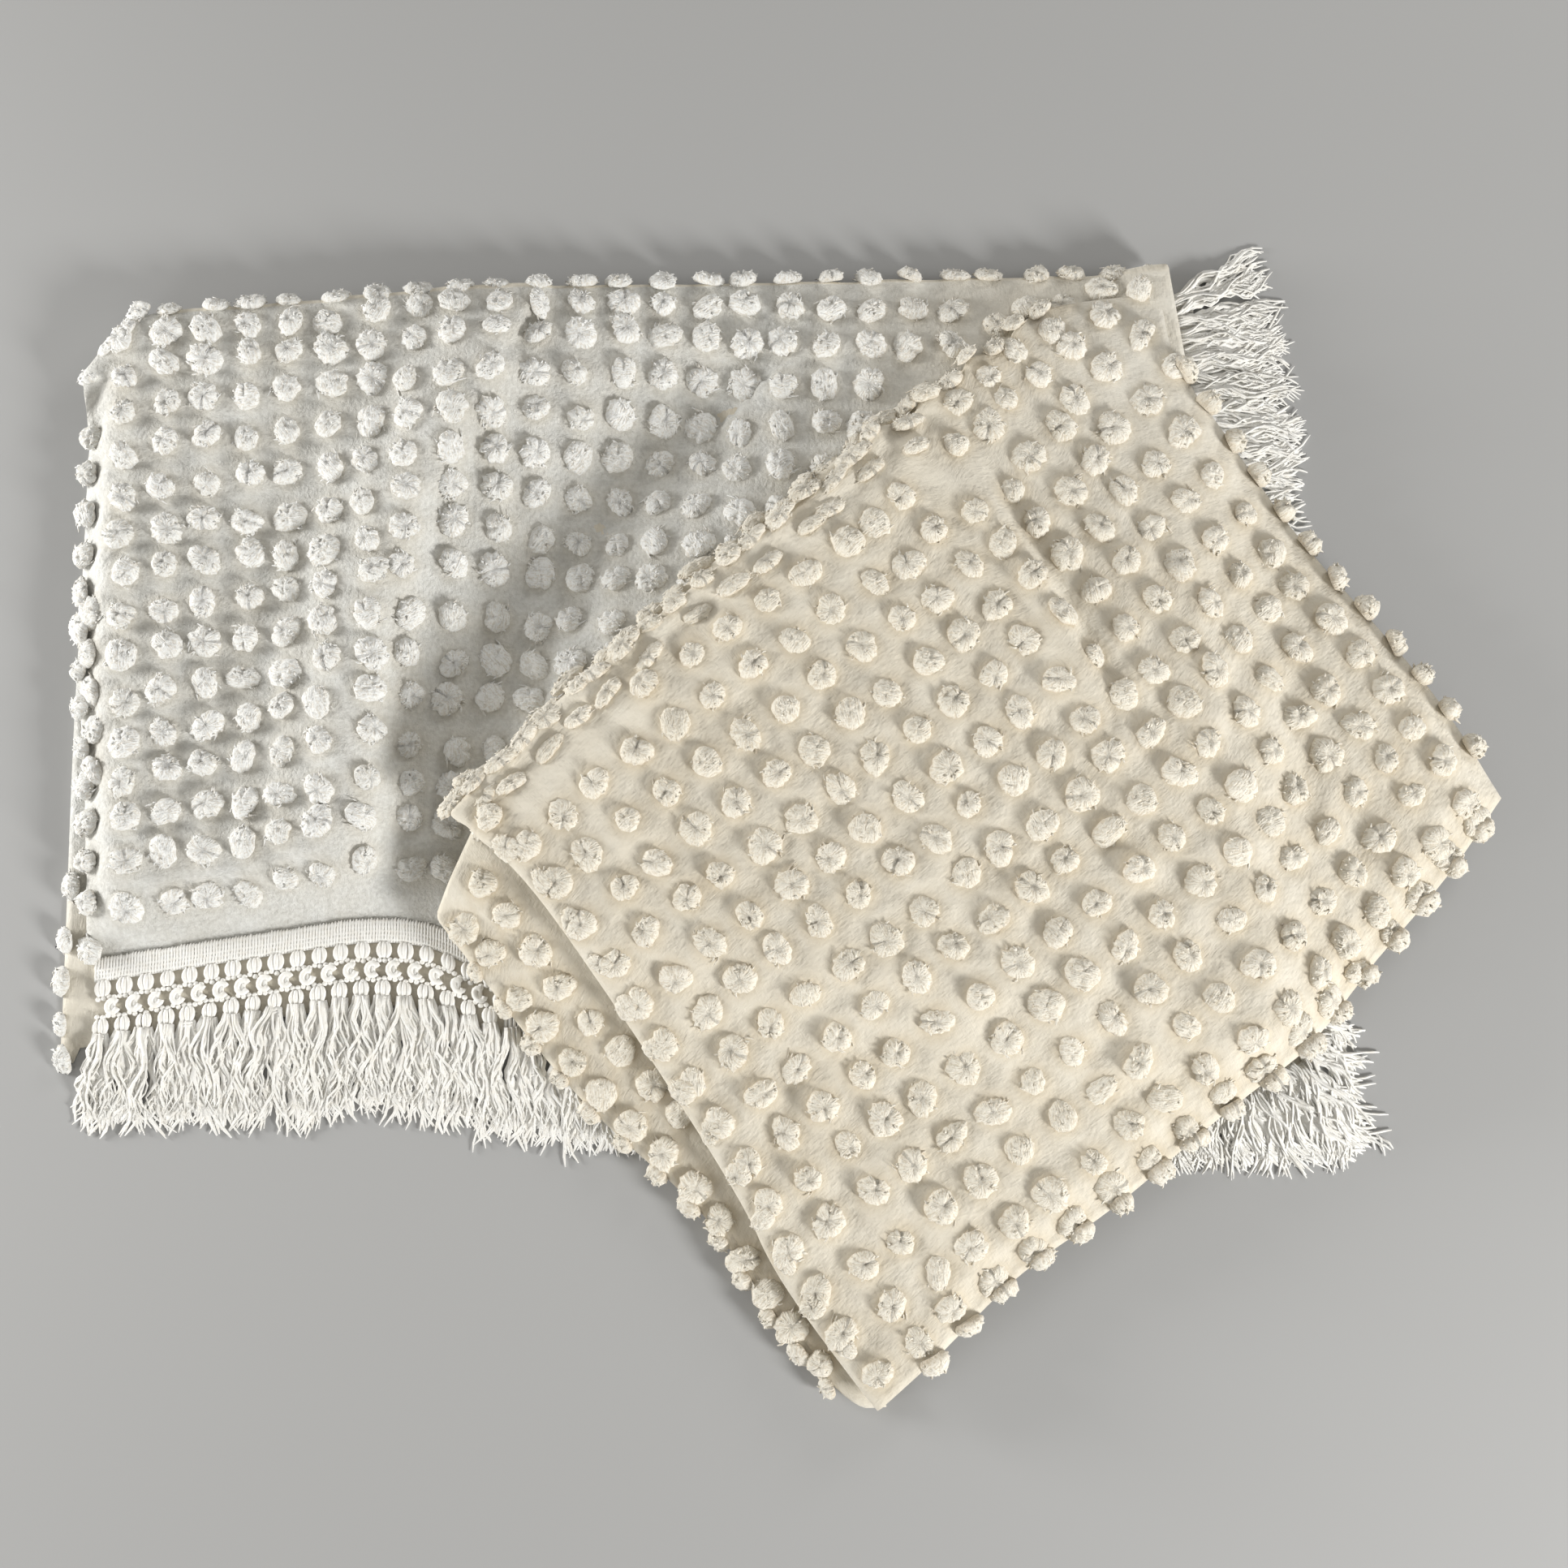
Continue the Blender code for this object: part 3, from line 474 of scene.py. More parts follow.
UNDER_HEIGHTS = [
    {"name": "under_flap", "height": 0.0275},
    {"name": "band", "height": 0.0150},
    {"name": "under_band", "height": 0.0020},
]
PUCKER_AT = 0.028
PUCKER_WIDTH = 0.0105
PUCKER_DEPTH = 0.0052
PUCKER_WAVE = {"size": 0.050, "seed": 12}
EDGE_WAVE = {"lift": 0.0022, "size": 0.034, "seed": 14, "down": 0.11, "fades": (0.70, 0.85)}
FLAP_WAVES = [
    {"lift": 0.0019, "size": 0.080, "seed": 8},
    {"lift": 0.0019, "size": 0.044, "seed": 9},
    {"lift": 0.0007, "size": 0.024, "seed": 10},
]
FLAP_SINK = 0.0014
FLAT_BY_EDGE = 0.06
FLAP_ROLL = 0.016
FLAP_ROLL_SHARE = 0.065
FLAP_ROLL_STARTS = (0.04, 0.16)
LIP_ROLL = 0.016
LIP_ROLL_SHARE = 0.045
UPPER_LEFT_ROLL = 0.004
UPPER_LEFT_ROLL_SHARE = 0.050
UNDER_BAND_END = 0.74
# Pulled folds of the flap, walked from the far corner down.  The cloth swells
# up to each line from its near side and drops sharply on the other.
FLAP_FOLDS = [
    {"line": [(0.134, 0.317), (0.172, 0.277), (0.211, 0.243), (0.242, 0.180), (0.263, 0.135), (0.303, 0.060)],
     "lift": 0.0145, "width": 0.012},
    {"line": [(0.090, 0.350), (0.134, 0.340), (0.173, 0.311), (0.200, 0.277), (0.222, 0.235)],
     "lift": 0.0130, "width": 0.010},
    {"line": [(0.160, 0.405), (0.196, 0.363), (0.229, 0.334), (0.294, 0.277), (0.326, 0.236), (0.356, 0.185)],
     "lift": 0.0140, "width": 0.011},
    {"line": [(0.195, 0.440), (0.242, 0.421), (0.263, 0.387), (0.300, 0.332)],
     "lift": 0.0120, "width": 0.010},
]
FOLD_SWELL = {"at": -0.7, "width": 1.1}
FOLD_GROOVE = {"at": 0.8, "width": 0.5, "share": 0.70}
FOLD_END_FADE = 0.06
FOLD_HEAD_REACH = 0.03


def beyond_base(x, y):
    """How far a place lies beyond the front or right edge of the base."""
    past_front = front_y(x) - y
    past_right = x - right_x(right_share(y))
    both = (past_front > 0.0) & (past_right > 0.0)
    return np.where(both, np.hypot(past_front, past_right), np.maximum(past_front, past_right))


def support_z(x, y):
    beyond = beyond_base(x, y)
    low = read(PACK_SUPPORT, "beyond", "z", beyond)
    high = read(HIGH_PACK_SUPPORT, "beyond", "z", beyond)
    return mix(low, high, lined_up(right_share(y))) - far_roll(x, y)


def patch(edges, across, down):
    """A place inside four edges: across runs up to the right, down to the lower right."""
    upper_left, lower_right, lower_left, upper_right = edges
    u, v = np.asarray(across)[..., None], np.asarray(down)[..., None]
    ruled_down = mix(along(upper_left, across), along(lower_right, across), v)
    ruled_across = mix(along(lower_left, down), along(upper_right, down), u)
    near_side = mix(upper_left[0], lower_right[0], v)
    far_side = mix(upper_left[-1], lower_right[-1], v)
    return ruled_down + ruled_across - mix(near_side, far_side, u)


def inner_edges(lower_left, upper_left_middle):
    """Edges of the layers under the flap, which stay inside its lower right edge."""
    middle = PACK_LOWER_RIGHT[1:-1] + UNDER_INSET
    lower_right = np.vstack([lower_left[-1], middle, INNER_RIGHT_CORNER])
    upper_left = softened([lower_left[0], *upper_left_middle, INNER_FAR_CORNER])
    upper_right = softened([INNER_FAR_CORNER, *UNDER_UPPER_RIGHT_MIDDLE, INNER_RIGHT_CORNER])
    return upper_left, lower_right, lower_left, upper_right


FLAP_EDGES = (PACK_UPPER_LEFT, PACK_LOWER_RIGHT, PACK_LOWER_LEFT, PACK_UPPER_RIGHT)
UNDER_FLAP_EDGES = inner_edges(PACK_LOWER_LEFT, UNDER_FLAP_UPPER_LEFT)
BAND_EDGES = inner_edges(BAND_LOWER_LEFT, BAND_UPPER_LEFT)


def flap_relief(x, y):
    relief = waves_of(FLAP_WAVES, x, y) - FLAP_SINK
    for fold in FLAP_FOLDS:
        line = softened(fold["line"])
        gap, side = distance_to(line, x, y)
        step = gap * side / fold["width"]
        swell = bell((step - FOLD_SWELL["at"]) / FOLD_SWELL["width"])
        groove = FOLD_GROOVE["share"] * bell((step - FOLD_GROOVE["at"]) / FOLD_GROOVE["width"])
        from_head = np.hypot(x - line[0, 0], y - line[0, 1]) + FOLD_HEAD_REACH
        from_tail = np.hypot(x - line[-1, 0], y - line[-1, 1])
        fade = ease(np.minimum(from_tail, from_head) / FOLD_END_FADE)
        relief = relief + fold["lift"] * (swell - groove) * fade
    return relief


def pack_height(x, y):
    """How far the flap stands above what the pack lies on; it thins out to the far corner."""
    from_far = np.hypot(x - FAR_CORNER[0], y - FAR_CORNER[1])
    return mix(FAR_CORNER_HEIGHT, FLAP_HEIGHT, ease((from_far - FAR_DROP[0]) / FAR_DROP[1]))


def flap_top(across, down):
    """The flap; its margins roll down, but not at the near corner."""
    place = patch(FLAP_EDGES, across, down)
    x, y = place[..., 0], place[..., 1]
    height = pack_height(x, y)
    height_share = (height - FAR_CORNER_HEIGHT) / (FLAP_HEIGHT - FAR_CORNER_HEIGHT)
    lower_right = FLAP_ROLL * (1.0 - ease((1.0 - down) / FLAP_ROLL_SHARE))
    lower_right = lower_right * step_between(FLAP_ROLL_STARTS, across)
    upper_right = LIP_ROLL * (1.0 - ease((1.0 - across) / LIP_ROLL_SHARE)) * height_share
    upper_left = UPPER_LEFT_ROLL * (1.0 - ease(down / UPPER_LEFT_ROLL_SHARE)) * height_share
    roll = np.maximum(np.maximum(lower_right, upper_right), upper_left)
    inside = np.minimum(np.minimum(down, 1.0 - down), np.minimum(across, 1.0 - across))
    uneven = 0.75 + 0.25 * rolling(x, y, PUCKER_WAVE["size"], PUCKER_WAVE["seed"])
    pucker = PUCKER_DEPTH * bell((down - PUCKER_AT) / PUCKER_WIDTH) * uneven
    waves = EDGE_WAVE["lift"] * rolling(x, y, EDGE_WAVE["size"], EDGE_WAVE["seed"])
    waves = waves * (1.0 - ease(down / EDGE_WAVE["down"])) * (1.0 - step_between(EDGE_WAVE["fades"], across))
    relief = flap_relief(x, y) * ease(inside / FLAT_BY_EDGE)
    z = support_z(x, y) + height - roll + (relief - pucker + waves) * height_share
    return np.stack([x, y, z], axis=-1)


def pack_under(layer, edges, across, down):
    place = patch(edges, across, down)
    x, y = place[..., 0], place[..., 1]
    return np.stack([x, y, support_z(x, y) + layer["height"] * pack_height(x, y) / FLAP_HEIGHT], axis=-1)


def outward_of(edge, inner):
    away = edge - inner
    away[..., 2] = 0.0
    return away / np.linalg.norm(away, axis=-1, keepdims=True)


def with_lip(rows, drop):
    """Rows carried on past their upper left end: turned down and under by a drop."""
    edge, inner = rows[:, 0], rows[:, 1]
    out = outward_of(edge, inner)
    down = np.array([0.0, 0.0, 1.0])
    radius = np.broadcast_to(np.asarray(drop)[..., None] / 2.0, edge[:, :1].shape)
    turned = [edge - down * radius * 2.0 - out * LIP_TUCK]
    for angle in np.radians(LIP_TURNS):
        turned.append(edge + out * radius * math.sin(angle) - down * radius * (1.0 - math.cos(angle)))
    return np.concatenate([np.stack(turned, axis=1), rows], axis=1)


def with_plain_edge(rows):
    """Rows carried on past their upper left end by almost nothing."""
    edge, inner = rows[:, 0], rows[:, 1]
    out = outward_of(edge, inner)
    steps = [edge + out * PLAIN_EDGE_STEP * count for count in range(len(LIP_TURNS) + 1, 0, -1)]
    return np.concatenate([np.stack(steps, axis=1), rows], axis=1)


def pack_sheet():
    """Every row of the slanted pack, from the flap's upper right edge down."""
    down = np.linspace(0.0, 1.0, PACK_CELLS[0] + 1)
    flap = flap_top(*np.meshgrid(np.linspace(1.0, 0.0, PACK_CELLS[1] + 1), down, indexing="ij"))
    hidden = np.linspace(0.0, 1.0, HIDDEN_ROWS + 1)
    under_flap, band, under_band = UNDER_HEIGHTS
    band_shares = np.concatenate([hidden[:3:-1], np.linspace(BAND_SHOWS[0], 0.0, BAND_SHOWS[1])])
    above = flap[:, 0, 2] - support_z(flap[:, 0, 0], flap[:, 0, 1])
    flap = with_lip(flap, np.clip(above - LIP_CLEARANCE, *LIP_DROP))
    middle = pack_under(under_flap, UNDER_FLAP_EDGES, *np.meshgrid(hidden, down, indexing="ij"))
    low = pack_under(band, BAND_EDGES, *np.meshgrid(band_shares, down, indexing="ij"))
    last = pack_under(under_band, BAND_EDGES, *np.meshgrid(hidden * UNDER_BAND_END, down, indexing="ij"))
    middle, low, last = with_plain_edge(middle), with_lip(low, LIP_DROP[1]), with_plain_edge(last)
    rows = [
        flap, fold_arc(flap[-1], middle[0], outward_of(flap[-1], flap[-2]), FOLD_STEPS),
        middle, fold_arc(middle[-1], low[0], outward_of(middle[-1], middle[-2]), HIDDEN_FOLD_STEPS),
        low, fold_arc(low[-1], last[0], outward_of(low[-1], low[-2]), FOLD_STEPS),
        last,
    ]
    return np.concatenate(rows)


def lifted_at(points, tufts, lift, reach):
    """The cloth drawn up a little where each tuft is pulled through it."""
    raised = points.copy()
    for tuft in tufts:
        gap = ((points - tuft) ** 2).sum(axis=-1)
        raised[..., 2] += lift * np.exp(-gap / reach ** 2)
    return raised


def painted_shade_near_roots(points, tufts, reach):
    """How near the cloth is to the roots of a tuft, from 0 to 1; this sets the painted shade there."""
    nearest = np.full(points.shape[:-1], 1.0)
    for tuft in tufts:
        nearest = np.minimum(nearest, ((points - tuft) ** 2).sum(axis=-1))
    return np.exp(-(nearest / reach ** 2) ** 2)


def keep_values(mesh_data, label, amounts):
    """One number for each point of a mesh, for its finish to read."""
    layer = mesh_data.attributes.new(label, "FLOAT", "POINT")
    layer.data.foreach_set("value", np.asarray(amounts, float))


def laid_grid(points, cream, root_shade_share):
    """A grid of cloth through rows of points, with its threads kept as a UV map."""
    row_count, column_count = points.shape[0] - 1, points.shape[1] - 1
    bm = bmesh.new()
    bmesh.ops.create_grid(bm, x_segments=column_count, y_segments=row_count, size=1.0)
    mesh_data = bpy.data.meshes.new("cloth_grid")
    bm.to_mesh(mesh_data)
    bm.free()
    flat = np.zeros(len(mesh_data.vertices) * 3)
    mesh_data.vertices.foreach_get("co", flat)
    flat = flat.reshape(-1, 3)
    column = np.rint((flat[:, 0] + 1.0) / 2.0 * column_count).astype(int)
    row = np.rint((flat[:, 1] + 1.0) / 2.0 * row_count).astype(int)
    mesh_data.vertices.foreach_set("co", points[row, column].ravel())
    row_steps = np.linalg.norm(np.diff(points, axis=0), axis=-1).mean(axis=1)
    column_steps = np.linalg.norm(np.diff(points, axis=1), axis=-1).mean(axis=0)
    v = np.concatenate([[0.0], np.cumsum(row_steps)])[row]
    u = np.concatenate([[0.0], np.cumsum(column_steps)])[column]
    corners = np.zeros(len(mesh_data.loops), int)
    mesh_data.loops.foreach_get("vertex_index", corners)
    threads = mesh_data.uv_layers.new(name="threads")
    threads.data.foreach_set("uv", np.stack([u[corners], v[corners]], axis=-1).ravel())
    keep_values(mesh_data, "cream", cream[row, column])
    # How much painted shade lies on the cloth round the tufts' roots.
    keep_values(mesh_data, "root_shade_share", root_shade_share[row, column])
    return mesh_data


SHEEN_ROUGHNESS = 0.6


def nodes_of(finish):
    return finish.node_tree.nodes, finish.node_tree.links


def soft_cotton(name, colour, roughness, sheen, specular):
    """Matt cotton with the faint sheen of its fibre ends."""
    finish = plain_finish(name, colour, roughness)
    shader = finish.node_tree.nodes["Principled BSDF"]
    shader.inputs["Sheen Weight"].default_value = sheen
    shader.inputs["Sheen Roughness"].default_value = SHEEN_ROUGHNESS
    shader.inputs["Specular IOR Level"].default_value = specular
    return finish


def bumped(nodes, links, height, strength, distance):
    """Small relief on a finish, from a height that varies over it."""
    bump = nodes.new("ShaderNodeBump")
    bump.inputs["Strength"].default_value = strength
    bump.inputs["Distance"].default_value = distance
    links.new(height, bump.inputs["Height"])
    links.new(bump.outputs["Normal"], nodes["Principled BSDF"].inputs["Normal"])


def attribute_of(nodes, name):
    reader = nodes.new("ShaderNodeAttribute")
    reader.attribute_name = name
    return reader.outputs["Fac"]


def two_tone(nodes, links, factor, first, second, places=(0.0, 1.0)):
    """One colour up to the first place of a factor, another from the second place on."""
    ramp = nodes.new("ShaderNodeValToRGB")
    for stop, position, colour in zip(ramp.color_ramp.elements, places, (first, second)):
        stop.position = position
        stop.color = (*colour, 1.0)
    links.new(factor, ramp.inputs["Fac"])
    return ramp.outputs["Color"]


def blended(nodes, links, kind, factor, first, second):
    """Two colours mixed or multiplied by a factor."""
    mixer = nodes.new("ShaderNodeMix")
    mixer.data_type = "RGBA"
    mixer.blend_type = kind
    if isinstance(factor, float):
        mixer.inputs["Factor"].default_value = factor
    else:
        links.new(factor, mixer.inputs["Factor"])
    links.new(first, mixer.inputs["A"])
    links.new(second, mixer.inputs["B"])
    return mixer.outputs["Result"]


def noise_of(nodes, links, vector, scale, detail, stretch=(1.0, 1.0, 1.0)):
    """Uneven cloudy amounts from 0 to 1; a larger scale makes them finer."""
    turn = nodes.new("ShaderNodeMapping")
    turn.inputs["Scale"].default_value = stretch
    noise = nodes.new("ShaderNodeTexNoise")
    noise.inputs["Scale"].default_value = scale
    noise.inputs["Detail"].default_value = detail
    links.new(vector, turn.inputs["Vector"])
    links.new(turn.outputs["Vector"], noise.inputs["Vector"])
    return noise.outputs["Fac"]


def scaled_sum(nodes, links, first, amount, second):
    """first times an amount, plus second."""
    sum_node = nodes.new("ShaderNodeMath")
    sum_node.operation = "MULTIPLY_ADD"
    sum_node.inputs[1].default_value = amount
    links.new(first, sum_node.inputs[0])
    links.new(second, sum_node.inputs[2])
    return sum_node.outputs["Value"]


PLAIN_WHITE = (1.0, 1.0, 1.0)
CLOTH_SHEEN = 0.20
CLUMPS = {"scale": 230.0, "shade": (0.88, 0.875, 0.865), "places": (0.38, 0.60)}
FAINT_CLOUDS = {"scale": 26.0, "shade": (0.93, 0.915, 0.89), "places": (0.35, 0.65)}
FINE_NAP = 1100.0
COARSE_NAP = 260.0
WARP_STRETCH = (900.0, 110.0, 1.0)
WEFT_STRETCH = (110.0, 900.0, 1.0)
CRINKLE_STRETCH = (330.0, 150.0, 1.0)
PUCKERED = {"scale": 75.0, "share": 3.2}
CLOTH_BUMP = {"strength": 0.75, "distance": 0.0010}


def cloth_finish():
    """White napped cotton where cream is 0, cream plain weave where it is 1."""
    finish = soft_cotton("bedspread_cotton", WHITE_CLOTH, 0.92, CLOTH_SHEEN, 0.12)
    nodes, links = nodes_of(finish)
    place = nodes.new("ShaderNodeTexCoord")
    threads, spot = place.outputs["UV"], place.outputs["Object"]
    cream = attribute_of(nodes, "cream")
    tone = two_tone(nodes, links, cream, WHITE_CLOTH, CREAM_CLOTH)
    clump_noise = noise_of(nodes, links, spot, CLUMPS["scale"], 6.0)
    clumps = two_tone(nodes, links, clump_noise, CLUMPS["shade"], PLAIN_WHITE, CLUMPS["places"])
    faint_noise = noise_of(nodes, links, spot, FAINT_CLOUDS["scale"], 5.0)
    faint = two_tone(nodes, links, faint_noise, FAINT_CLOUDS["shade"], PLAIN_WHITE, FAINT_CLOUDS["places"])
    napped = blended(nodes, links, "MULTIPLY", 1.0, tone, clumps)
    surface_tone = blended(nodes, links, "MIX", cream, napped, tone)
    surface_tone = blended(nodes, links, "MULTIPLY", 1.0, surface_tone, faint)
    # Painted shade, warmer and darker, close round the tufts' roots.
    painted_root_shade = two_tone(nodes, links, attribute_of(nodes, "root_shade_share"), PLAIN_WHITE, ROOT_SHADE)
    colour = blended(nodes, links, "MULTIPLY", 1.0, surface_tone, painted_root_shade)
    links.new(colour, nodes["Principled BSDF"].inputs["Base Color"])
    fine_nap = noise_of(nodes, links, spot, FINE_NAP, 2.0)
    nap = scaled_sum(nodes, links, fine_nap, 0.35, noise_of(nodes, links, spot, COARSE_NAP, 5.0))
    warp = noise_of(nodes, links, threads, 1.0, 2.0, WARP_STRETCH)
    weft = noise_of(nodes, links, threads, 1.0, 2.0, WEFT_STRETCH)
    crinkle = noise_of(nodes, links, threads, 1.0, 3.0, CRINKLE_STRETCH)
    weave = scaled_sum(nodes, links, scaled_sum(nodes, links, warp, 1.0, weft), 0.45, crinkle)
    puckered = noise_of(nodes, links, spot, PUCKERED["scale"], 2.0)
    weave = scaled_sum(nodes, links, puckered, PUCKERED["share"], weave)
    height = nodes.new("ShaderNodeMix")
    links.new(cream, height.inputs["Factor"])
    links.new(scaled_sum(nodes, links, nap, 1.6, nap), height.inputs["A"])
    links.new(weave, height.inputs["B"])
    bumped(nodes, links, height.outputs["Result"], CLOTH_BUMP["strength"], CLOTH_BUMP["distance"])
    return finish


# ------------------------------------------------------------------ the tufts' places
# Each tuft is a bundle of soft chenille yarn pulled through the ground cloth.
# They stand in rows along the threads, about 38 mm apart on the base and 43 mm
# on the pack, and no two sit quite alike.
BASE_COLUMN_COUNT = 28
BASE_COLUMN_FRONT = {"start": -0.6452, "pitch": 0.0369, "y": -0.044}
BASE_COLUMN_FAR = {"start": -0.6715, "pitch": 0.0397, "y": 0.443}
BASE_JITTER = 0.0022
FLAP_COLUMN_START = 0.017
FLAP_COLUMN_PITCH = 0.0548
FLAP_COLUMN_COUNT = 18
FLAP_ROW_COUNT = 14
FLAP_ROWS = [
    {"across": 0.02, "first": 0.040, "last": 0.890},
    {"across": 0.08, "first": 0.046, "last": 0.907},
    {"across": 0.24, "first": 0.060, "last": 0.936},
    {"across": 0.41, "first": 0.079, "last": 0.930},
    {"across": 0.62, "first": 0.101, "last": 0.938},
    {"across": 0.79, "first": 0.106, "last": 0.955},
    {"across": 0.90, "first": 0.093, "last": 0.949},
    {"across": 0.95, "first": 0.066, "last": 0.952},
    {"across": 1.00, "first": 0.022, "last": 0.950},
]
FLAP_JITTER = 0.0032
DROOPING_ROW = 0.66
RIDGE_PULL = {"x": -0.387, "by": 0.007, "reach": 0.014, "from": 0.000, "to": 0.210, "fade": 0.04}
SMALL_STEP = 0.002
BASE_CREAM = {"most": 0.70, "between": (-0.04, 0.28)}
PACK_CREAM = {"least": 0.66, "reach": 0.34}
GATHERED = {"by": 0.028, "down": 0.28, "between": (0.50, 0.62)}
EDGE_GAP = 0.010
BASE_INSIDE = {"left": 0.012, "right": 0.985, "front": 0.018}
FLAP_INSIDE = {"across": (0.006, 0.994), "down": (0.012, 0.985)}
FAR_CORNER_GAP = 0.027
FAR_CORNER_TUFTS = [
    (0.234, 0.466), (0.268, 0.466), (0.307, 0.454), (0.205, 0.447), (0.256, 0.436), (0.341, 0.433),
    (0.219, 0.415), (0.273, 0.421), (0.241, 0.391), (0.306, 0.400), (0.371, 0.400), (0.209, 0.366),
    (0.275, 0.367), (0.345, 0.367), (0.401, 0.374), (0.192, 0.338), (0.311, 0.338), (0.378, 0.336),
    (0.437, 0.336), (0.135, 0.333), (0.105, 0.309), (0.133, 0.292), (0.161, 0.318), (0.164, 0.362),
    (0.110, 0.344), (0.134, 0.374), (0.162, 0.386), (0.193, 0.388), (0.308, 0.486), (0.343, 0.483),
]
NEAR_CORNER_TUFTS = [
    (-0.297, -0.023), (-0.277, -0.038), (-0.267, -0.018), (-0.285, -0.001), (-0.260, -0.029),
]


def inside_outline(x, y, outline):
    """Even-odd test of places against a closed outline."""
    inside = np.zeros(np.shape(x), bool)
    for (ax, ay), (bx, by) in zip(outline, np.roll(outline, -1, axis=0)):
        crossed = (ay > y) != (by > y)
        with np.errstate(divide="ignore", invalid="ignore"):
            inside ^= crossed & (x < ax + (bx - ax) * (y - ay) / (by - ay))
    return inside


def standing_on(surface, first, second):
    """Places and outward directions on a cloth surface at pairs of shares."""
    place = surface(first, second)
    one = surface(first + SMALL_STEP, second) - surface(first - SMALL_STEP, second)
    two = surface(first, second + SMALL_STEP) - surface(first, second - SMALL_STEP)
    up = np.cross(one, two)
    up *= np.where(up[..., 2:] < 0.0, -1.0, 1.0)
    return place, up / np.linalg.norm(up, axis=-1, keepdims=True)


def base_cream_at(x):
    """The base is white, and turns creamier to its right."""
    return BASE_CREAM["most"] * step_between(BASE_CREAM["between"], x)


def pack_cream_at(points):
    """The pack is cream, and turns whiter to its far corner."""
    from_far = np.hypot(points[..., 0] - FAR_CORNER[0], points[..., 1] - FAR_CORNER[1])
    return mix(PACK_CREAM["least"], 1.0, ease(from_far / PACK_CREAM["reach"]))


def clear_of(points, others, gap):
    """Which points are at least a gap away from all the others, seen from above."""
    apart = np.linalg.norm(points[:, None, :2] - np.asarray(others)[None, :, :2], axis=-1)
    return apart.min(axis=1) > gap


rng = np.random.default_rng(21)
columns = np.arange(BASE_COLUMN_COUNT)
base_x, base_y = [], []
for row in range(len(ROWS_IN)):
    for column in columns:
        near_x = BASE_COLUMN_FRONT["start"] + BASE_COLUMN_FRONT["pitch"] * column
        far_x = BASE_COLUMN_FAR["start"] + BASE_COLUMN_FAR["pitch"] * column
        y = float(base_row_y(row, far_x))
        x = mix(near_x, far_x, (y - BASE_COLUMN_FRONT["y"]) / (BASE_COLUMN_FAR["y"] - BASE_COLUMN_FRONT["y"]))
        begun = ease((y - RIDGE_PULL["from"]) / RIDGE_PULL["fade"])
        on_ridge = begun * (1.0 - ease((y - RIDGE_PULL["to"]) / RIDGE_PULL["fade"]))
        off_ridge = (x - RIDGE_PULL["x"]) / RIDGE_PULL["reach"]
        x = x + RIDGE_PULL["by"] * math.exp(-off_ridge ** 2) * float(on_ridge)
        base_x.append(x + rng.normal(0.0, BASE_JITTER))
        base_y.append(float(base_row_y(row, x)) + rng.normal(0.0, BASE_JITTER))
base_x, base_y = np.array(base_x), np.array(base_y)
base_share = np.clip((base_y - front_y(base_x)) / (far_y(base_x) - front_y(base_x)), 0.01, 0.99)
base_across = (base_x - left_x(base_share)) / (right_x(base_share) - left_x(base_share))
far_sides = [PACK_UPPER_LEFT, PACK_UPPER_RIGHT[1:], PACK_LOWER_RIGHT[::-1][1:]]
pack_outline = np.vstack([*far_sides, BAND_LOWER_LEFT[::-1][1:]])
by_pack = distance_to(PACK_UPPER_LEFT, base_x, base_y)[0] < EDGE_GAP
under_pack = inside_outline(base_x, base_y, pack_outline) | by_pack
open_places = (base_across > BASE_INSIDE["left"]) & (base_across < BASE_INSIDE["right"]) & ~under_pack
open_places &= base_y > front_y(base_x) + BASE_INSIDE["front"]
base_tufts, base_up = standing_on(base_top, base_across[open_places], base_share[open_places])
kept = clear_of(base_tufts, FAR_CORNER_TUFTS, FAR_CORNER_GAP)
base_tufts, base_up = base_tufts[kept], base_up[kept]

flap_across, flap_down = [], []
for column in range(FLAP_COLUMN_COUNT):
    across = FLAP_COLUMN_START + FLAP_COLUMN_PITCH * column
    first, last = (float(read(FLAP_ROWS, "across", name, across)) for name in ("first", "last"))
    for row in range(FLAP_ROW_COUNT):
        down = mix(first, last, row / (FLAP_ROW_COUNT - 1))
        gathered = GATHERED["by"] * (1.0 - ease(down / GATHERED["down"]))
        gathered = gathered * step_between(GATHERED["between"], across)
        flap_across.append(across - gathered + rng.normal(0.0, FLAP_JITTER))
        flap_down.append(down + rng.normal(0.0, FLAP_JITTER))
    flap_across.append(across + rng.normal(0.0, FLAP_JITTER))
    flap_down.append(mix(last, 1.0, DROOPING_ROW) + rng.normal(0.0, FLAP_JITTER))
flap_across = np.clip(flap_across, *FLAP_INSIDE["across"])
flap_down = np.clip(flap_down, *FLAP_INSIDE["down"])
flap_tufts, flap_up = standing_on(flap_top, flap_across, flap_down)
kept = clear_of(flap_tufts, FAR_CORNER_TUFTS, FAR_CORNER_GAP)
flap_tufts, flap_up = flap_tufts[kept], flap_up[kept]

# By the far corner the flap thins out over the base, and its tufts are set one by one.
SEARCH_STEPS = 150
SEARCH_GAP = 0.006
whole = np.meshgrid(np.linspace(0.01, 0.99, SEARCH_STEPS), np.linspace(0.01, 0.99, SEARCH_STEPS))
flap_places, flap_ups = (values.reshape(-1, 3) for values in standing_on(flap_top, *whole))
base_places, base_ups = (values.reshape(-1, 3) for values in standing_on(base_top, *whole))
corner_tufts, corner_up = [], []
for spot in FAR_CORNER_TUFTS:
    for places, ups in ((flap_places, flap_ups), (base_places, base_ups)):
        gap = np.hypot(places[:, 0] - spot[0], places[:, 1] - spot[1])
        if gap.min() < SEARCH_GAP:
            corner_tufts.append([*spot, places[gap.argmin(), 2]])
            corner_up.append(ups[gap.argmin()])
            break
corner_tufts, corner_up = np.array(corner_tufts), np.array(corner_up)
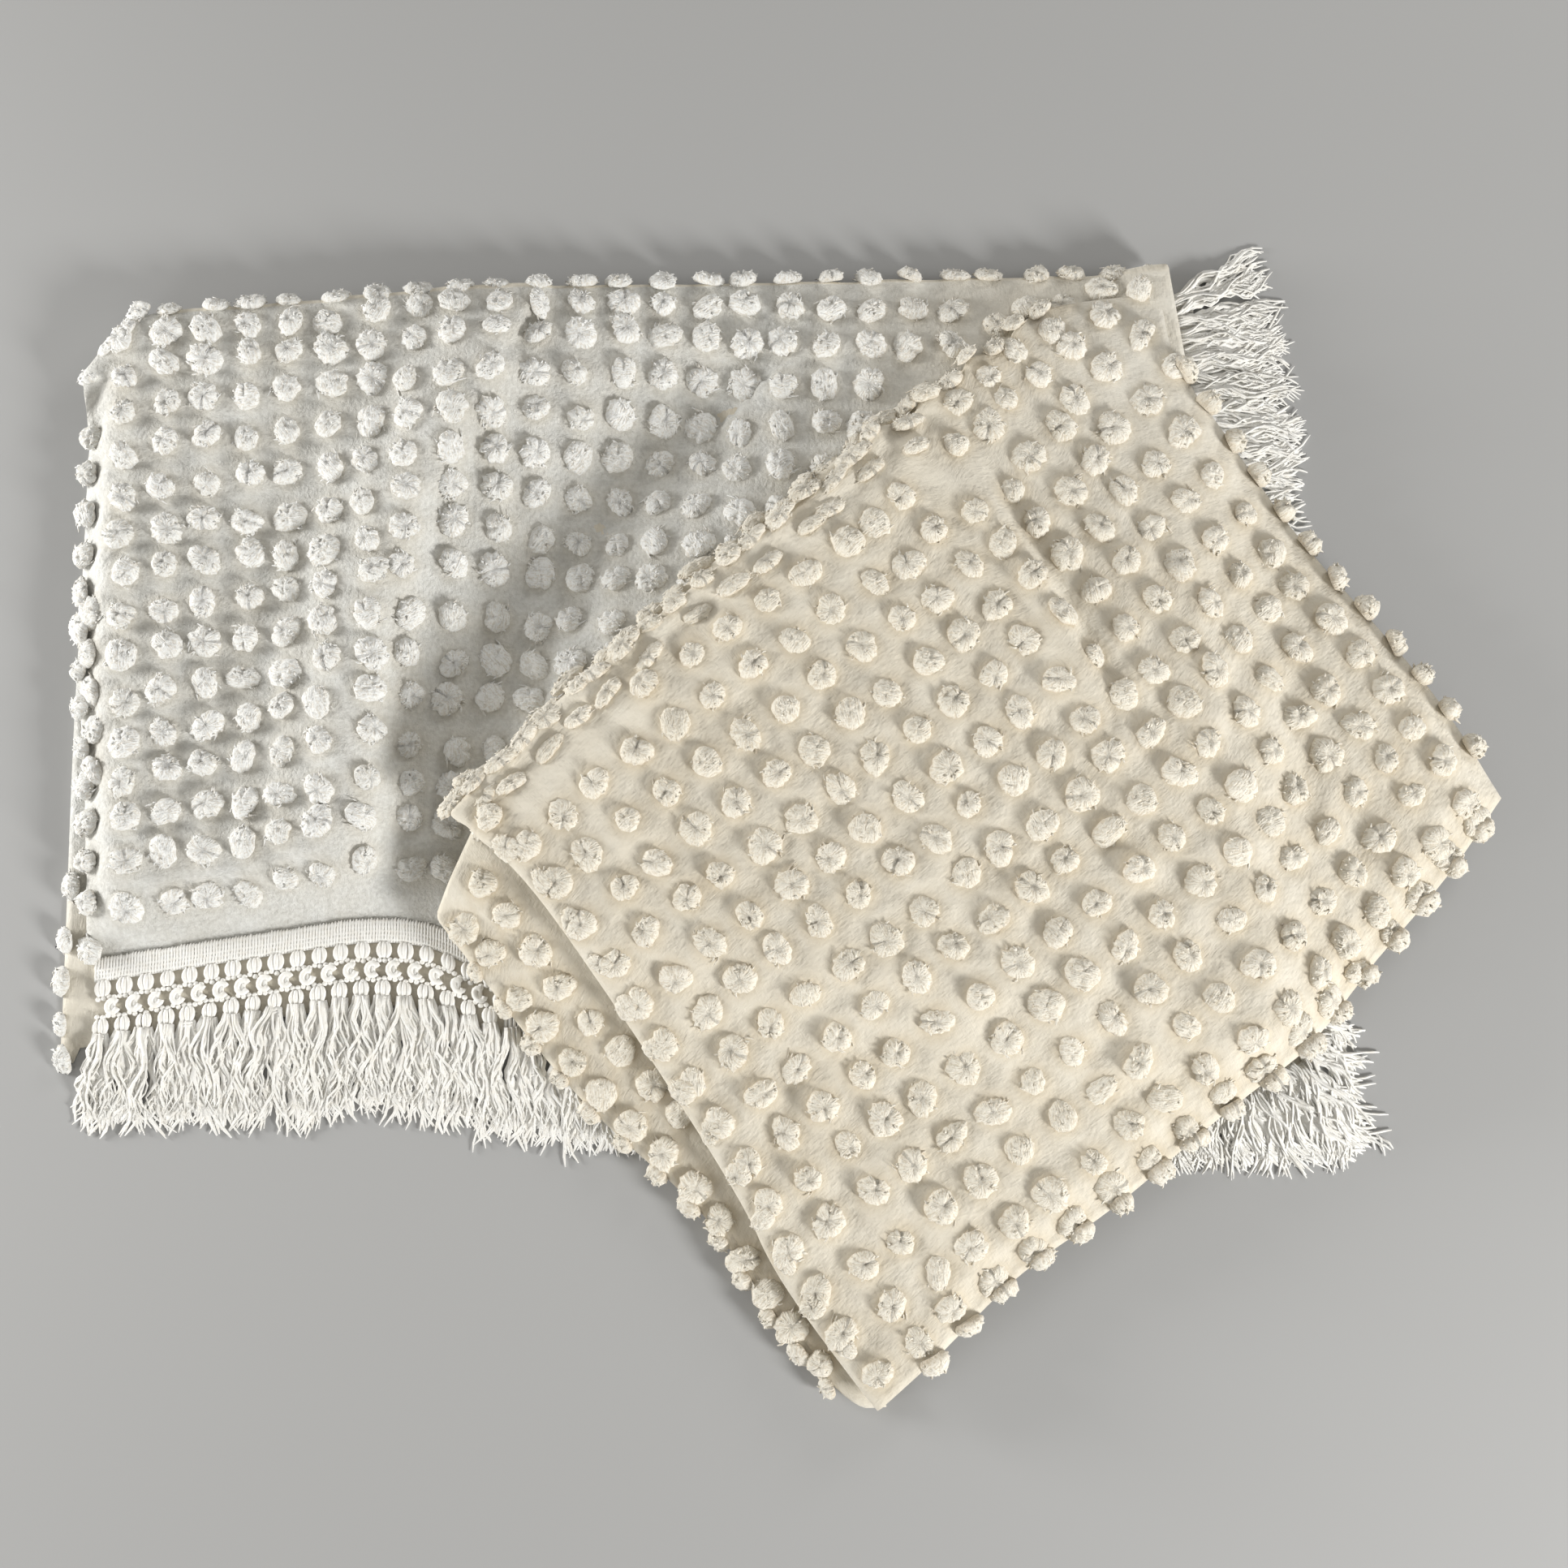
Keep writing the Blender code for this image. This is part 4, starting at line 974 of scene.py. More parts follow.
flap_tufts, flap_up = np.vstack([flap_tufts, corner_tufts]), np.vstack([flap_up, corner_up])

# The lower band shows only along its lower left fold; its rows there are nearly straight.
BAND_COLUMN_COUNT = 3
BAND_COLUMN_START = 0.020
BAND_ROWS = {"start": 0.045, "pitch": 0.067}


def band_top(across, down):
    return pack_under(UNDER_HEIGHTS[1], BAND_EDGES, across, down)


band_across, band_down = [], []
for column in range(BAND_COLUMN_COUNT):
    for row in range(FLAP_ROW_COUNT):
        band_across.append(BAND_COLUMN_START + FLAP_COLUMN_PITCH * column + rng.normal(0.0, 0.003))
        band_down.append(BAND_ROWS["start"] + BAND_ROWS["pitch"] * row + rng.normal(0.0, 0.004))
band_across, band_down = np.array(band_across), np.array(band_down)
band_tufts, band_up = standing_on(band_top, band_across, band_down)
flap_outline = np.vstack([*far_sides, PACK_LOWER_LEFT[::-1][1:]])
covered = inside_outline(band_tufts[:, 0], band_tufts[:, 1], flap_outline)
beside = distance_to(PACK_LOWER_LEFT, band_tufts[:, 0], band_tufts[:, 1])[0] < EDGE_GAP
band_tufts, band_up = band_tufts[~covered & ~beside], band_up[~covered & ~beside]

# Tufts on the folds and edges themselves, which point outwards: on the far
# fold, down the rolled left margin, and along the bottom layer where it shows.
RIM_BEYOND = 0.005
RIM_Z = 0.0330
MARGIN_X = -0.64
MARGIN_ROW_SHIFT = 0.014
CORNER_PLACES = [
    (-0.6650, 0.396, 0.026), (-0.6470, 0.425, 0.029), (-0.6290, 0.444, 0.031), (-0.6200, 0.460, 0.029),
]
BOTTOM_PLACES = [(-0.664, -0.090), (-0.668, -0.140), (-0.668, -0.178), (-0.668, -0.218), (-0.664, -0.250)]
BOTTOM_Z = 0.003
RIM_JITTER = 0.003
FAR_RIM_UP = [0.0, 0.80, 0.60]
CORNER_UP = [-0.55, 0.45, 0.70]
BOTTOM_UP = [-0.70, -0.1, 0.70]
MARGIN_ACROSS = 0.003
MARGIN_SHIFT = np.array([0.001, 0.0, 0.003])
MARGIN_LEAN = np.array([-0.7, 0.0, 0.2])
far_columns = np.arange(2, BASE_COLUMN_COUNT - 1)
far_x = BASE_COLUMN_FAR["start"] + BASE_COLUMN_FAR["pitch"] * far_columns
far_x = far_x + rng.normal(0.0, RIM_JITTER, len(far_columns))
margin_y = np.array([float(base_row_y(row, MARGIN_X)) - MARGIN_ROW_SHIFT for row in range(1, len(ROWS_IN))])
margin_share = (margin_y - front_y(MARGIN_X)) / (far_y(MARGIN_X) - front_y(MARGIN_X))
margin_tufts, margin_up = standing_on(base_top, np.full(len(margin_y), MARGIN_ACROSS), margin_share)
margin_tufts, margin_up = margin_tufts + MARGIN_SHIFT, margin_up + MARGIN_LEAN
rim_places = np.concatenate([
    np.column_stack([far_x, far_y(far_x) + RIM_BEYOND, RIM_Z - far_roll(far_x, far_y(far_x))]),
    margin_tufts,
    np.array(CORNER_PLACES),
    np.array([(x, y, BOTTOM_Z) for x, y in BOTTOM_PLACES]),
])
rim_up = np.concatenate([
    np.tile(FAR_RIM_UP, (len(far_x), 1)),
    margin_up,
    np.tile(CORNER_UP, (len(CORNER_PLACES), 1)),
    np.tile(BOTTOM_UP, (len(BOTTOM_PLACES), 1)),
])
rim_up /= np.linalg.norm(rim_up, axis=-1, keepdims=True)

# Tufts that hang over the flap's drooping edges and the band's lower left fold.
EDGE_ROW_PITCH = 0.0685
LOWER_RIGHT_COUNT = FLAP_COLUMN_COUNT - 1
UPPER_RIGHT_COUNT = 12
NEAR_COUNT = 13
LOWER_RIGHT = {"down": 0.988, "shift": 0.004, "up": [0.52, -0.80, 0.10]}
UPPER_RIGHT = {"across": 0.992, "start": 0.150, "up": [0.78, 0.52, 0.40]}
NEAR_EDGE = {"across": 0.005, "start": 0.085, "lean": [-0.50, -0.36, 0.0]}
BAND_FOLD = {"start": 0.030, "shift": [-0.002, -0.002, -0.004], "up": [-0.76, -0.60, 0.25]}
lower_right_across = FLAP_COLUMN_START + FLAP_COLUMN_PITCH * np.arange(1, FLAP_COLUMN_COUNT)
lower_right_across = lower_right_across + LOWER_RIGHT["shift"]
upper_right_down = UPPER_RIGHT["start"] + EDGE_ROW_PITCH * np.arange(UPPER_RIGHT_COUNT)
hang_across = np.concatenate([lower_right_across, np.full(UPPER_RIGHT_COUNT, UPPER_RIGHT["across"])])
hang_down = np.concatenate([np.full(LOWER_RIGHT_COUNT, LOWER_RIGHT["down"]), upper_right_down])
hang_tufts = flap_top(hang_across, hang_down)
hang_up = np.concatenate([
    np.tile(LOWER_RIGHT["up"], (LOWER_RIGHT_COUNT, 1)),
    np.tile(UPPER_RIGHT["up"], (UPPER_RIGHT_COUNT, 1)),
])
near_down = NEAR_EDGE["start"] + EDGE_ROW_PITCH * np.arange(NEAR_COUNT)
near_across = NEAR_EDGE["across"] + rng.normal(0.0, 0.002, NEAR_COUNT)
near_tufts, near_up = standing_on(flap_top, near_across, near_down)
near_up = near_up + np.array(NEAR_EDGE["lean"])
fold_down = BAND_FOLD["start"] + EDGE_ROW_PITCH * np.arange(1, FLAP_ROW_COUNT)
fold_tufts = band_top(np.zeros(len(fold_down)), fold_down) + np.array(BAND_FOLD["shift"])
fold_up = np.tile(BAND_FOLD["up"], (len(fold_down), 1))

# Tufts caught and pressed flat in the two stacked folds of the pack's upper left edge.
LIP_RUN = np.array([0.75, 0.66, 0.0])
LIP_UP = np.array([-0.42, 0.48, 0.77])
LIP_JITTER = {"place": 0.0030, "up": 0.12, "run": 0.25}
STACKED_FOLDS = [
    {"edge": PACK_UPPER_LEFT, "shares": (0.035, 0.86, 24), "shift": [-0.0025, 0.0030], "z": 0.0325},
    {"edge": BAND_EDGES[0], "shares": (0.16, 0.93, 19), "shift": [-0.0035, 0.0040], "z": 0.0085},
]
NEAR_CORNER_Z = (0.070, 0.060)
INNER_COUNT = 12
INNER_GAP = 0.024
INNER_LEAN = np.array([-0.20, 0.24, 0.0])
lip_places = []
for fold in STACKED_FOLDS:
    line = along(fold["edge"], np.linspace(*fold["shares"])) + fold["shift"]
    lip_places.append(np.column_stack([line, np.full(len(line), fold["z"])]))
lip_places = np.concatenate(lip_places)
thinned = pack_height(lip_places[:, 0], lip_places[:, 1]) / FLAP_HEIGHT
lip_places[:, 2] = support_z(lip_places[:, 0], lip_places[:, 1]) + lip_places[:, 2] * thinned
near_corner = [(x, y, NEAR_CORNER_Z[number % 2]) for number, (x, y) in enumerate(NEAR_CORNER_TUFTS)]
lip_places = np.vstack([lip_places, near_corner])
lip_places += rng.normal(0.0, LIP_JITTER["place"], lip_places.shape)
lip_up = LIP_UP + rng.normal(0.0, LIP_JITTER["up"], lip_places.shape)
lip_run = LIP_RUN + rng.normal(0.0, LIP_JITTER["run"], lip_places.shape)
inner_across = np.linspace(0.055, 0.640, INNER_COUNT) + rng.normal(0.0, 0.010, INNER_COUNT)
inner_down = 0.030 + rng.normal(0.0, 0.005, INNER_COUNT)
inner_tufts, inner_up = standing_on(flap_top, inner_across, inner_down)
kept = clear_of(flap_tufts, inner_tufts, INNER_GAP)
flap_tufts, flap_up = flap_tufts[kept], flap_up[kept]
inner_up = inner_up + INNER_LEAN
inner_run = LIP_RUN + rng.normal(0.0, 0.20, inner_tufts.shape)

# ------------------------------------------------------------ the cloth drawn up at its tufts
# The ground cloth rises a little where each tuft is pulled through it, and has shade
# painted warmer and darker close round the roots.  Its hidden faces are cream, and the
# whole sheet gets its real thickness.
# How far the cloth rises at a tuft, and how far round it.
BASE_LIFT = (0.0016, 0.011)
FLAP_LIFT = (0.0034, 0.014)
BAND_LIFT = (0.0022, 0.012)
ROOT_SHADE_REACH = 0.0185
BASE_ROOT_SHADE_SHARE = 0.6
LEFT_MARGIN = -0.60
MARGIN_CREAM = {"most": 0.85, "between": (-0.13, -0.04)}
base_points = lifted_at(base_sheet(), base_tufts, *BASE_LIFT)
pack_points = lifted_at(pack_sheet(), flap_tufts, *FLAP_LIFT)
pack_points = lifted_at(pack_points, band_tufts, *BAND_LIFT)
for points in (base_points, pack_points):
    points[..., 2] = np.maximum(points[..., 2], LOWEST_CLOTH)
base_cream = base_cream_at(base_points[..., 0])
under = base_points[BASE_CELLS[1] + 1:]
by_margin = MARGIN_CREAM["most"] * (1.0 - step_between(MARGIN_CREAM["between"], under[..., 1]))
base_cream[BASE_CELLS[1] + 1:] = np.where(under[..., 0] < LEFT_MARGIN, by_margin, 1.0)
# Shares of painted shade round the tufts' roots, weaker on the base.
base_root_shade = BASE_ROOT_SHADE_SHARE * painted_shade_near_roots(base_points, base_tufts, ROOT_SHADE_REACH)
pack_root_shade = painted_shade_near_roots(pack_points, np.vstack([flap_tufts, band_tufts]), ROOT_SHADE_REACH)
bm = bmesh.new()
bm.from_mesh(laid_grid(base_points, np.clip(base_cream, 0.0, 1.0), base_root_shade))
bm.from_mesh(laid_grid(pack_points, pack_cream_at(pack_points), pack_root_shade))
cloth_mesh = bpy.data.meshes.new("ground_cloth")
bm.to_mesh(cloth_mesh)
bm.free()
cloth_mesh.materials.append(cloth_finish())
cloth_mesh.shade_smooth()
ground_cloth = placed("ground_cloth", cloth_mesh)
body = ground_cloth.modifiers.new("thickness", "SOLIDIFY")
body.thickness = CLOTH_THICKNESS
body.offset = 0.0
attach(ground_cloth, "root")
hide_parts("spread_cloth")

# ------------------------------------------------------------------ the tufts
# A tuft is a fat roll of cut chenille pile curled round on itself into a plump
# bun, with a dimple or a slit where its ends meet.  Ridges of pile run across
# the roll, and short ends fray out of it, most of all on the napped base.
DOME_SEGMENTS = 26
DOME_RINGS = 14
DOME_CUT = -0.25
DOME_RISE = (0.62, 0.18)
DOME_WIDTH = 0.95
DOME_TUCK = 0.16
# Parts of a tuft of radius 1.
PILE_RIBS = {"uneven": 0.040, "zigzag": 0.022, "starts": 0.5, "deep": 0.8}
LOBES = (0.05, 0.04)
SLIT = {"width": 0.17, "starts": 0.30, "pinch": 0.42, "deep": 0.40}
SWIRL = 0.30
DIMPLE_WIDTH = 0.26
COMB_PITCH = 0.30
LUMP_SIZE = 0.45
CURL_RIDGE = 0.62
END_LENGTHS = (0.06, 0.22)
END_SLOPES = (0.50, 1.60)
END_RADII = (0.090, 0.075, 0.035)
# The painted shade at a tuft's roots fades out from PILE_ROOT up over PILE_TALL.
PILE_ROOT = 0.05
PILE_TALL = 0.55
LEAN_JITTER = 0.11
BASE_TUFT_RADIUS = 0.0154
FLAP_TUFT_RADIUS = 0.0158
TUFT_FLOOR = 0.0006
SINK = 0.0014
HANG_OUT = 0.003
RIM_TUFT_SHARE = 0.92
# How wide each way and how tall a tuft is, as shares of its radius.
STANDING_WIDTHS = ((0.78, 1.12), (0.78, 1.12))
STANDING_HEIGHT = (0.80, 1.08)
HANGING = {"widths": ((0.74, 0.95), (0.74, 0.95)), "height": (1.20, 1.55)}
PRESSED = {"widths": ((0.62, 0.85), (0.75, 1.05)), "height": (0.65, 0.85)}
FOLDED_OVER = {"widths": ((0.62, 0.85), (0.62, 0.85)), "height": (0.90, 1.20)}
CAUGHT_IN_FOLD = {"widths": ((0.52, 0.80), (0.80, 1.30)), "height": (0.60, 0.90)}
BESIDE_FOLD = {"widths": ((0.50, 0.66), (0.95, 1.25)), "height": (0.60, 0.80)}
TUFT_KINDS = [
    {"name": "bun", "count": 4, "dimple": 0.24, "slit": 0.12, "comb": 0.0,
     "rough": 0.040, "ends": 10},
    {"name": "curled", "count": 6, "dimple": 0.22, "slit": 0.42, "comb": 0.0,
     "rough": 0.045, "ends": 10},
    {"name": "comb", "count": 4, "dimple": 0.04, "slit": 0.25, "comb": 0.045,
     "rough": 0.040, "ends": 10},
    {"name": "frizzy_bun", "count": 5, "dimple": 0.22, "slit": 0.30, "comb": 0.0,
     "rough": 0.085, "ends": 16},
    {"name": "frizzy_comb", "count": 4, "dimple": 0.06, "slit": 0.45, "comb": 0.035,
     "rough": 0.085, "ends": 16},
]


def unit_yarn(sections, sides):
    """A straight closed yarn, as (section, sideways, upward) of each point and its triangles."""
    bm = bmesh.new()
    bmesh.ops.create_cone(bm, cap_ends=True, segments=sides, radius1=1.0, radius2=1.0, depth=1.0)
    for step in range(1, sections - 1):
        level = -0.5 + step / (sections - 1)
        whole = list(bm.verts) + list(bm.edges) + list(bm.faces)
        bmesh.ops.bisect_plane(bm, geom=whole, plane_co=(0.0, 0.0, level), plane_no=(0.0, 0.0, 1.0))
    bmesh.ops.triangulate(bm, faces=bm.faces)
    bm.verts.ensure_lookup_table()
    points = np.array([vertex.co for vertex in bm.verts])
    faces = np.array([[vertex.index for vertex in face.verts] for face in bm.faces])
    bm.free()
    return np.rint((points[:, 2] + 0.5) * (sections - 1)).astype(int), points[:, :2], faces


def bent_yarns(paths, radii, sides=3):
    """Yarns bent along paths (yarn, section, xyz) with a radius at each section."""
    count, sections = paths.shape[:2]
    section, round_it, faces = unit_yarn(sections, sides)
    run = np.gradient(paths, axis=1)
    run /= np.maximum(np.linalg.norm(run, axis=-1, keepdims=True), 1e-9)
    helper = np.where(np.abs(run[..., 2:]) > 0.9, np.array([1.0, 0.0, 0.0]), np.array([0.0, 0.0, 1.0]))
    side = np.cross(run, helper)
    side /= np.maximum(np.linalg.norm(side, axis=-1, keepdims=True), 1e-9)
    up = np.cross(run, side)
    radius = np.broadcast_to(radii, (count, sections))[:, section, None]
    about = side[:, section] * round_it[:, :1] + up[:, section] * round_it[:, 1:]
    points = paths[:, section] + radius * about
    shifted = faces[None] + (np.arange(count) * len(section))[:, None, None]
    return points.reshape(-1, 3), shifted.reshape(-1, 3)


def pile_dome(kind, rng, seed):
    """The plump body of a tuft of radius 1, and how far each point lies along its curl."""
    bm = bmesh.new()
    bmesh.ops.create_uvsphere(bm, u_segments=DOME_SEGMENTS, v_segments=DOME_RINGS, radius=1.0)
    whole = list(bm.verts) + list(bm.edges) + list(bm.faces)
    bmesh.ops.bisect_plane(
        bm, geom=whole, plane_co=(0.0, 0.0, DOME_CUT), plane_no=(0.0, 0.0, 1.0), clear_inner=True)
    bmesh.ops.holes_fill(bm, edges=bm.edges, sides=0)
    bmesh.ops.triangulate(bm, faces=bm.faces)
    bmesh.ops.recalc_face_normals(bm, faces=bm.faces)
    bm.verts.index_update()
    body = np.array([vertex.co for vertex in bm.verts])
    faces = np.array([[vertex.index for vertex in face.verts] for face in bm.faces])
    bm.free()
    flat = np.hypot(body[:, 0], body[:, 1])
    turn = np.arctan2(body[:, 1], body[:, 0])
    segment = np.rint(turn / math.tau * DOME_SEGMENTS).astype(int) % DOME_SEGMENTS
    zigzag = PILE_RIBS["zigzag"] * np.where(np.arange(DOME_SEGMENTS) % 2, 1.0, -1.0)
    fold = (rng.normal(0.0, PILE_RIBS["uneven"], DOME_SEGMENTS) + zigzag)[segment]
    fold = fold * ease(flat / PILE_RIBS["starts"])
    ribbed = 1.0 + fold * (1.0 if kind["comb"] == 0.0 else 0.5)
    lobes = 1.0 + LOBES[0] * np.sin(2.0 * turn + rng.uniform(0.0, 6.0))
    lobes = lobes + LOBES[1] * np.sin(3.0 * turn + rng.uniform(0.0, 6.0))
    from_slit = (math.pi - np.abs(turn)) * flat
    slit = kind["slit"] * np.exp(-(from_slit / SLIT["width"]) ** 2) * ease(flat / SLIT["starts"])
    tucked = 1.0 - DOME_TUCK * np.clip(body[:, 2] / DOME_CUT, 0.0, 1.0)
    wide = DOME_WIDTH * lobes * ribbed * (1.0 - SLIT["pinch"] * slit) * tucked
    swirl = SWIRL * rng.uniform(-1.0, 1.0) * (1.0 - flat)
    x, y = flat * wide * np.cos(turn + swirl), flat * wide * np.sin(turn + swirl)
    z = DOME_RISE[0] * body[:, 2] + DOME_RISE[1]
    upper = np.clip(body[:, 2], 0.0, 1.0)
    dimple = kind["dimple"] * np.exp(-(flat / DIMPLE_WIDTH) ** 2)
    z = z + upper * (fold * PILE_RIBS["deep"] - dimple - SLIT["deep"] * slit)
    z = z + upper * kind["comb"] * np.sin(body[:, 0] * math.tau / COMB_PITCH + rng.uniform(0.0, 6.0))
    points = np.stack([x, y, z], axis=-1)
    lumps = rolling(x + 0.8 * z, y - 0.6 * z, LUMP_SIZE, seed)
    points = points * (1.0 + kind["rough"] * lumps * ease((z + 0.1) / 0.3))[:, None]
    ridge = body[:, 0] if kind["comb"] > 0.0 else turn * CURL_RIDGE
    return points, faces, ridge


def frayed_ends(count, rng):
    """Short curved ends of pile that break a tuft's outline."""
    turn = rng.uniform(0.0, math.tau, count)
    polar = rng.uniform(*END_SLOPES, count)
    around = np.stack([np.sin(polar) * np.cos(turn), np.sin(polar) * np.sin(turn), np.cos(polar)], axis=-1)
    sideways = np.stack([-np.sin(turn), np.cos(turn), np.zeros(count)], axis=-1)
    sideways = sideways * rng.normal(0.0, 0.8, (count, 1))
    length = rng.uniform(*END_LENGTHS, (count, 1))
    skin = around * np.array([0.90, 0.90, DOME_RISE[0] * 0.95]) + np.array([0.0, 0.0, DOME_RISE[1]])
    middle = skin + (around * 0.5 + sideways * 0.6) * length
    tip = middle + (around * np.array([0.7, 0.7, 0.35]) + sideways) * length
    paths = np.stack([skin * 0.86, middle, tip], axis=1)
    return bent_yarns(paths, np.array([END_RADII]))


def tuft_shape(kind, seed):
    """One tuft of radius 1: points, triangles, and the course of its ridges."""
    rng = np.random.default_rng(seed)
    points, faces, ridge = pile_dome(kind, rng, seed)
    end_points, end_faces = frayed_ends(kind["ends"], rng)
    all_points = np.concatenate([points, end_points])
    all_faces = np.concatenate([faces, end_faces + len(points)])
    return all_points, all_faces, np.concatenate([ridge, np.zeros(len(end_points))])


def shapes_of(*names):
    """Every shape of the named kinds, each with its count of ends."""
    shapes = []
    for place, kind in enumerate(TUFT_KINDS):
        if kind["name"] in names:
            shapes += [tuft_shape(kind, 100 * place + number) for number in range(kind["count"])]
    return shapes


smooth_shapes = shapes_of("bun", "curled", "comb")
frizzy_shapes = shapes_of("frizzy_bun", "frizzy_comb")


def stood_up(places, ups, creams, shapes, radius, runs=None, widths=STANDING_WIDTHS, height=STANDING_HEIGHT):
    """Tufts set on their places, each turned, tilted and pressed a little differently."""
    count = len(places)
    chosen = rng.integers(0, len(shapes), count)
    spin = rng.uniform(0.0, math.tau, count)
    ups = ups + rng.normal(0.0, LEAN_JITTER, ups.shape)
    ups /= np.linalg.norm(ups, axis=-1, keepdims=True)
    if runs is None:
        runs = np.stack([np.cos(spin), np.sin(spin), np.zeros(count)], axis=-1)
    first = np.cross(ups, runs)
    first /= np.linalg.norm(first, axis=-1, keepdims=True)
    second = np.cross(ups, first)
    wide = [radius * rng.uniform(*limits, count) for limits in widths]
    tall = radius * rng.uniform(*height, count)
    points = np.stack([shapes[k][0] for k in chosen])
    set_down = places[:, None] + points[..., :1] * (first * wide[0][:, None])[:, None]
    set_down = set_down + points[..., 1:2] * (second * wide[1][:, None])[:, None]
    set_down = set_down + points[..., 2:] * (ups * tall[:, None])[:, None]
    set_down[..., 2] = np.maximum(set_down[..., 2], TUFT_FLOOR)
    faces = np.stack([shapes[k][1] for k in chosen]) + (np.arange(count) * points.shape[1])[:, None, None]
    # depth carries the painted shade, darker and warmer low down on each tuft.
    values = {
        "depth": np.clip((points[..., 2] - PILE_ROOT) / PILE_TALL, 0.0, 1.0),
        "tone": np.broadcast_to(rng.uniform(0.0, 1.0, (count, 1)), points.shape[:2]),
        "ridge": np.stack([shapes[k][2] for k in chosen]) * radius,
        "cream": np.broadcast_to(np.reshape(creams, (-1, 1)), points.shape[:2]),
    }
    values = {name: value.ravel() for name, value in values.items()}
    return set_down.reshape(-1, 3), faces.reshape(-1, 3), values


def put_together(parts):
    """Several sets of yarn meshes as one."""
    start, faces = 0, []
    for points, triangles, _ in parts:
        faces.append(triangles + start)
        start += len(points)
    values = {name: np.concatenate([part[2][name] for part in parts]) for name in parts[0][2]}
    return np.concatenate([part[0] for part in parts]), np.concatenate(faces), values


def yarn_piece(name, points, faces, values, finish, slot, node):
    """One visible piece made of many yarns."""
    mesh_data = bpy.data.meshes.new(name)
    mesh_data.from_pydata(points, [], faces)
    for label, amounts in values.items():
        keep_values(mesh_data, label, amounts)
    mesh_data.materials.append(finish)
    mesh_data.shade_smooth()
    mesh_data.update()
    piece = placed(name, mesh_data)
    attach(piece, "root")
    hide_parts(node)
    return piece


YARN_SHADE = (0.93, 0.925, 0.91)
ROOT_SHADE_END = 0.70
RIB_PITCH = 0.0011
RIB_SPREAD = 130.0
FIBRE_SHARE = 0.8
PILE_SHEEN = 0.30
PILE_BUMP = 0.8
CREVICE_SHADE_PLACES = (0.76, 0.92)
# Each pair is (root, tip): the warmer, darker root colour is painted shade low in the pile, and the crevice
# colour is painted shade in its crevices.
CHENILLE_WHITE = ((0.78, 0.77, 0.73), (0.875, 0.878, 0.855))
CHENILLE_CREAM = ((0.70, 0.625, 0.50), (0.855, 0.812, 0.708))
CHENILLE_CREVICE_SHADE = (0.84, 0.80, 0.745)


def yarn_finish(name, white, cream, crevice_shade, fibre_size, bump_depth):
    """Soft matt cotton pile, with shade painted warmer and darker down at its roots and in its crevices.
    White and cream are (root, tip) colours, the root colour being painted shade; fine ridges follow the ridge
    attribute along each roll."""
    finish = soft_cotton(name, white[1], 0.95, PILE_SHEEN, 0.08)
    nodes, links = nodes_of(finish)
    depth = attribute_of(nodes, "depth")
    # Painted shade towards the roots, darker and warmer low on the pile.
    white_with_root_shade = two_tone(nodes, links, depth, *white, (0.0, ROOT_SHADE_END))
    cream_with_root_shade = two_tone(nodes, links, depth, *cream, (0.0, ROOT_SHADE_END))
    colour = blended(nodes, links, "MIX", attribute_of(nodes, "cream"), white_with_root_shade, cream_with_root_shade)
    tint = two_tone(nodes, links, attribute_of(nodes, "tone"), YARN_SHADE, PLAIN_WHITE)
    colour = blended(nodes, links, "MULTIPLY", 1.0, colour, tint)
    place = nodes.new("ShaderNodeTexCoord").outputs["Object"]
    fibre = noise_of(nodes, links, place, 1.0 / fibre_size, 3.0)
    spread = nodes.new("ShaderNodeVectorMath")
    spread.operation = "SCALE"
    spread.inputs["Scale"].default_value = RIB_SPREAD
    links.new(place, spread.inputs[0])
    steps = nodes.new("ShaderNodeMath")
    steps.operation = "MULTIPLY"
    steps.inputs[1].default_value = 1.0 / RIB_PITCH
    links.new(attribute_of(nodes, "ridge"), steps.inputs[0])
    ribs = nodes.new("ShaderNodeTexNoise")
    ribs.noise_dimensions = "4D"
    ribs.inputs["Scale"].default_value = 1.0
    ribs.inputs["Detail"].default_value = 1.5
    links.new(spread.outputs["Vector"], ribs.inputs["Vector"])
    links.new(steps.outputs["Value"], ribs.inputs["W"])
    both = scaled_sum(nodes, links, fibre, FIBRE_SHARE, ribs.outputs["Fac"])
    # Painted shade in the pile's crevices, where the noise is low.
    painted_crevice_shade = two_tone(nodes, links, both, crevice_shade, PLAIN_WHITE, CREVICE_SHADE_PLACES)
    colour = blended(nodes, links, "MULTIPLY", 1.0, colour, painted_crevice_shade)
    links.new(colour, nodes["Principled BSDF"].inputs["Base Color"])
    bumped(nodes, links, both, PILE_BUMP, bump_depth)
    return finish


chenille = yarn_finish("chenille_pile", CHENILLE_WHITE, CHENILLE_CREAM, CHENILLE_CREVICE_SHADE, 0.0020, 0.0017)
base_cream_tufts, rim_cream = base_cream_at(base_tufts[:, 0]), base_cream_at(rim_places[:, 0])
base_parts = [
    stood_up(base_tufts - base_up * SINK, base_up, base_cream_tufts, frizzy_shapes, BASE_TUFT_RADIUS),
    stood_up(rim_places, rim_up, rim_cream, frizzy_shapes, BASE_TUFT_RADIUS * RIM_TUFT_SHARE),
]
base_tuft_piece = yarn_piece(
    "base_tufts", *put_together(base_parts), chenille, "white_cotton", "spread_cloth")
flap_part = stood_up(
    flap_tufts - flap_up * SINK, flap_up, pack_cream_at(flap_tufts), smooth_shapes, FLAP_TUFT_RADIUS)
flap_tuft_piece = yarn_piece("flap_tufts", *flap_part, chenille, "white_cotton", "spread_cloth")
hung, pressed = hang_tufts + hang_up * HANG_OUT, near_tufts - near_up * SINK
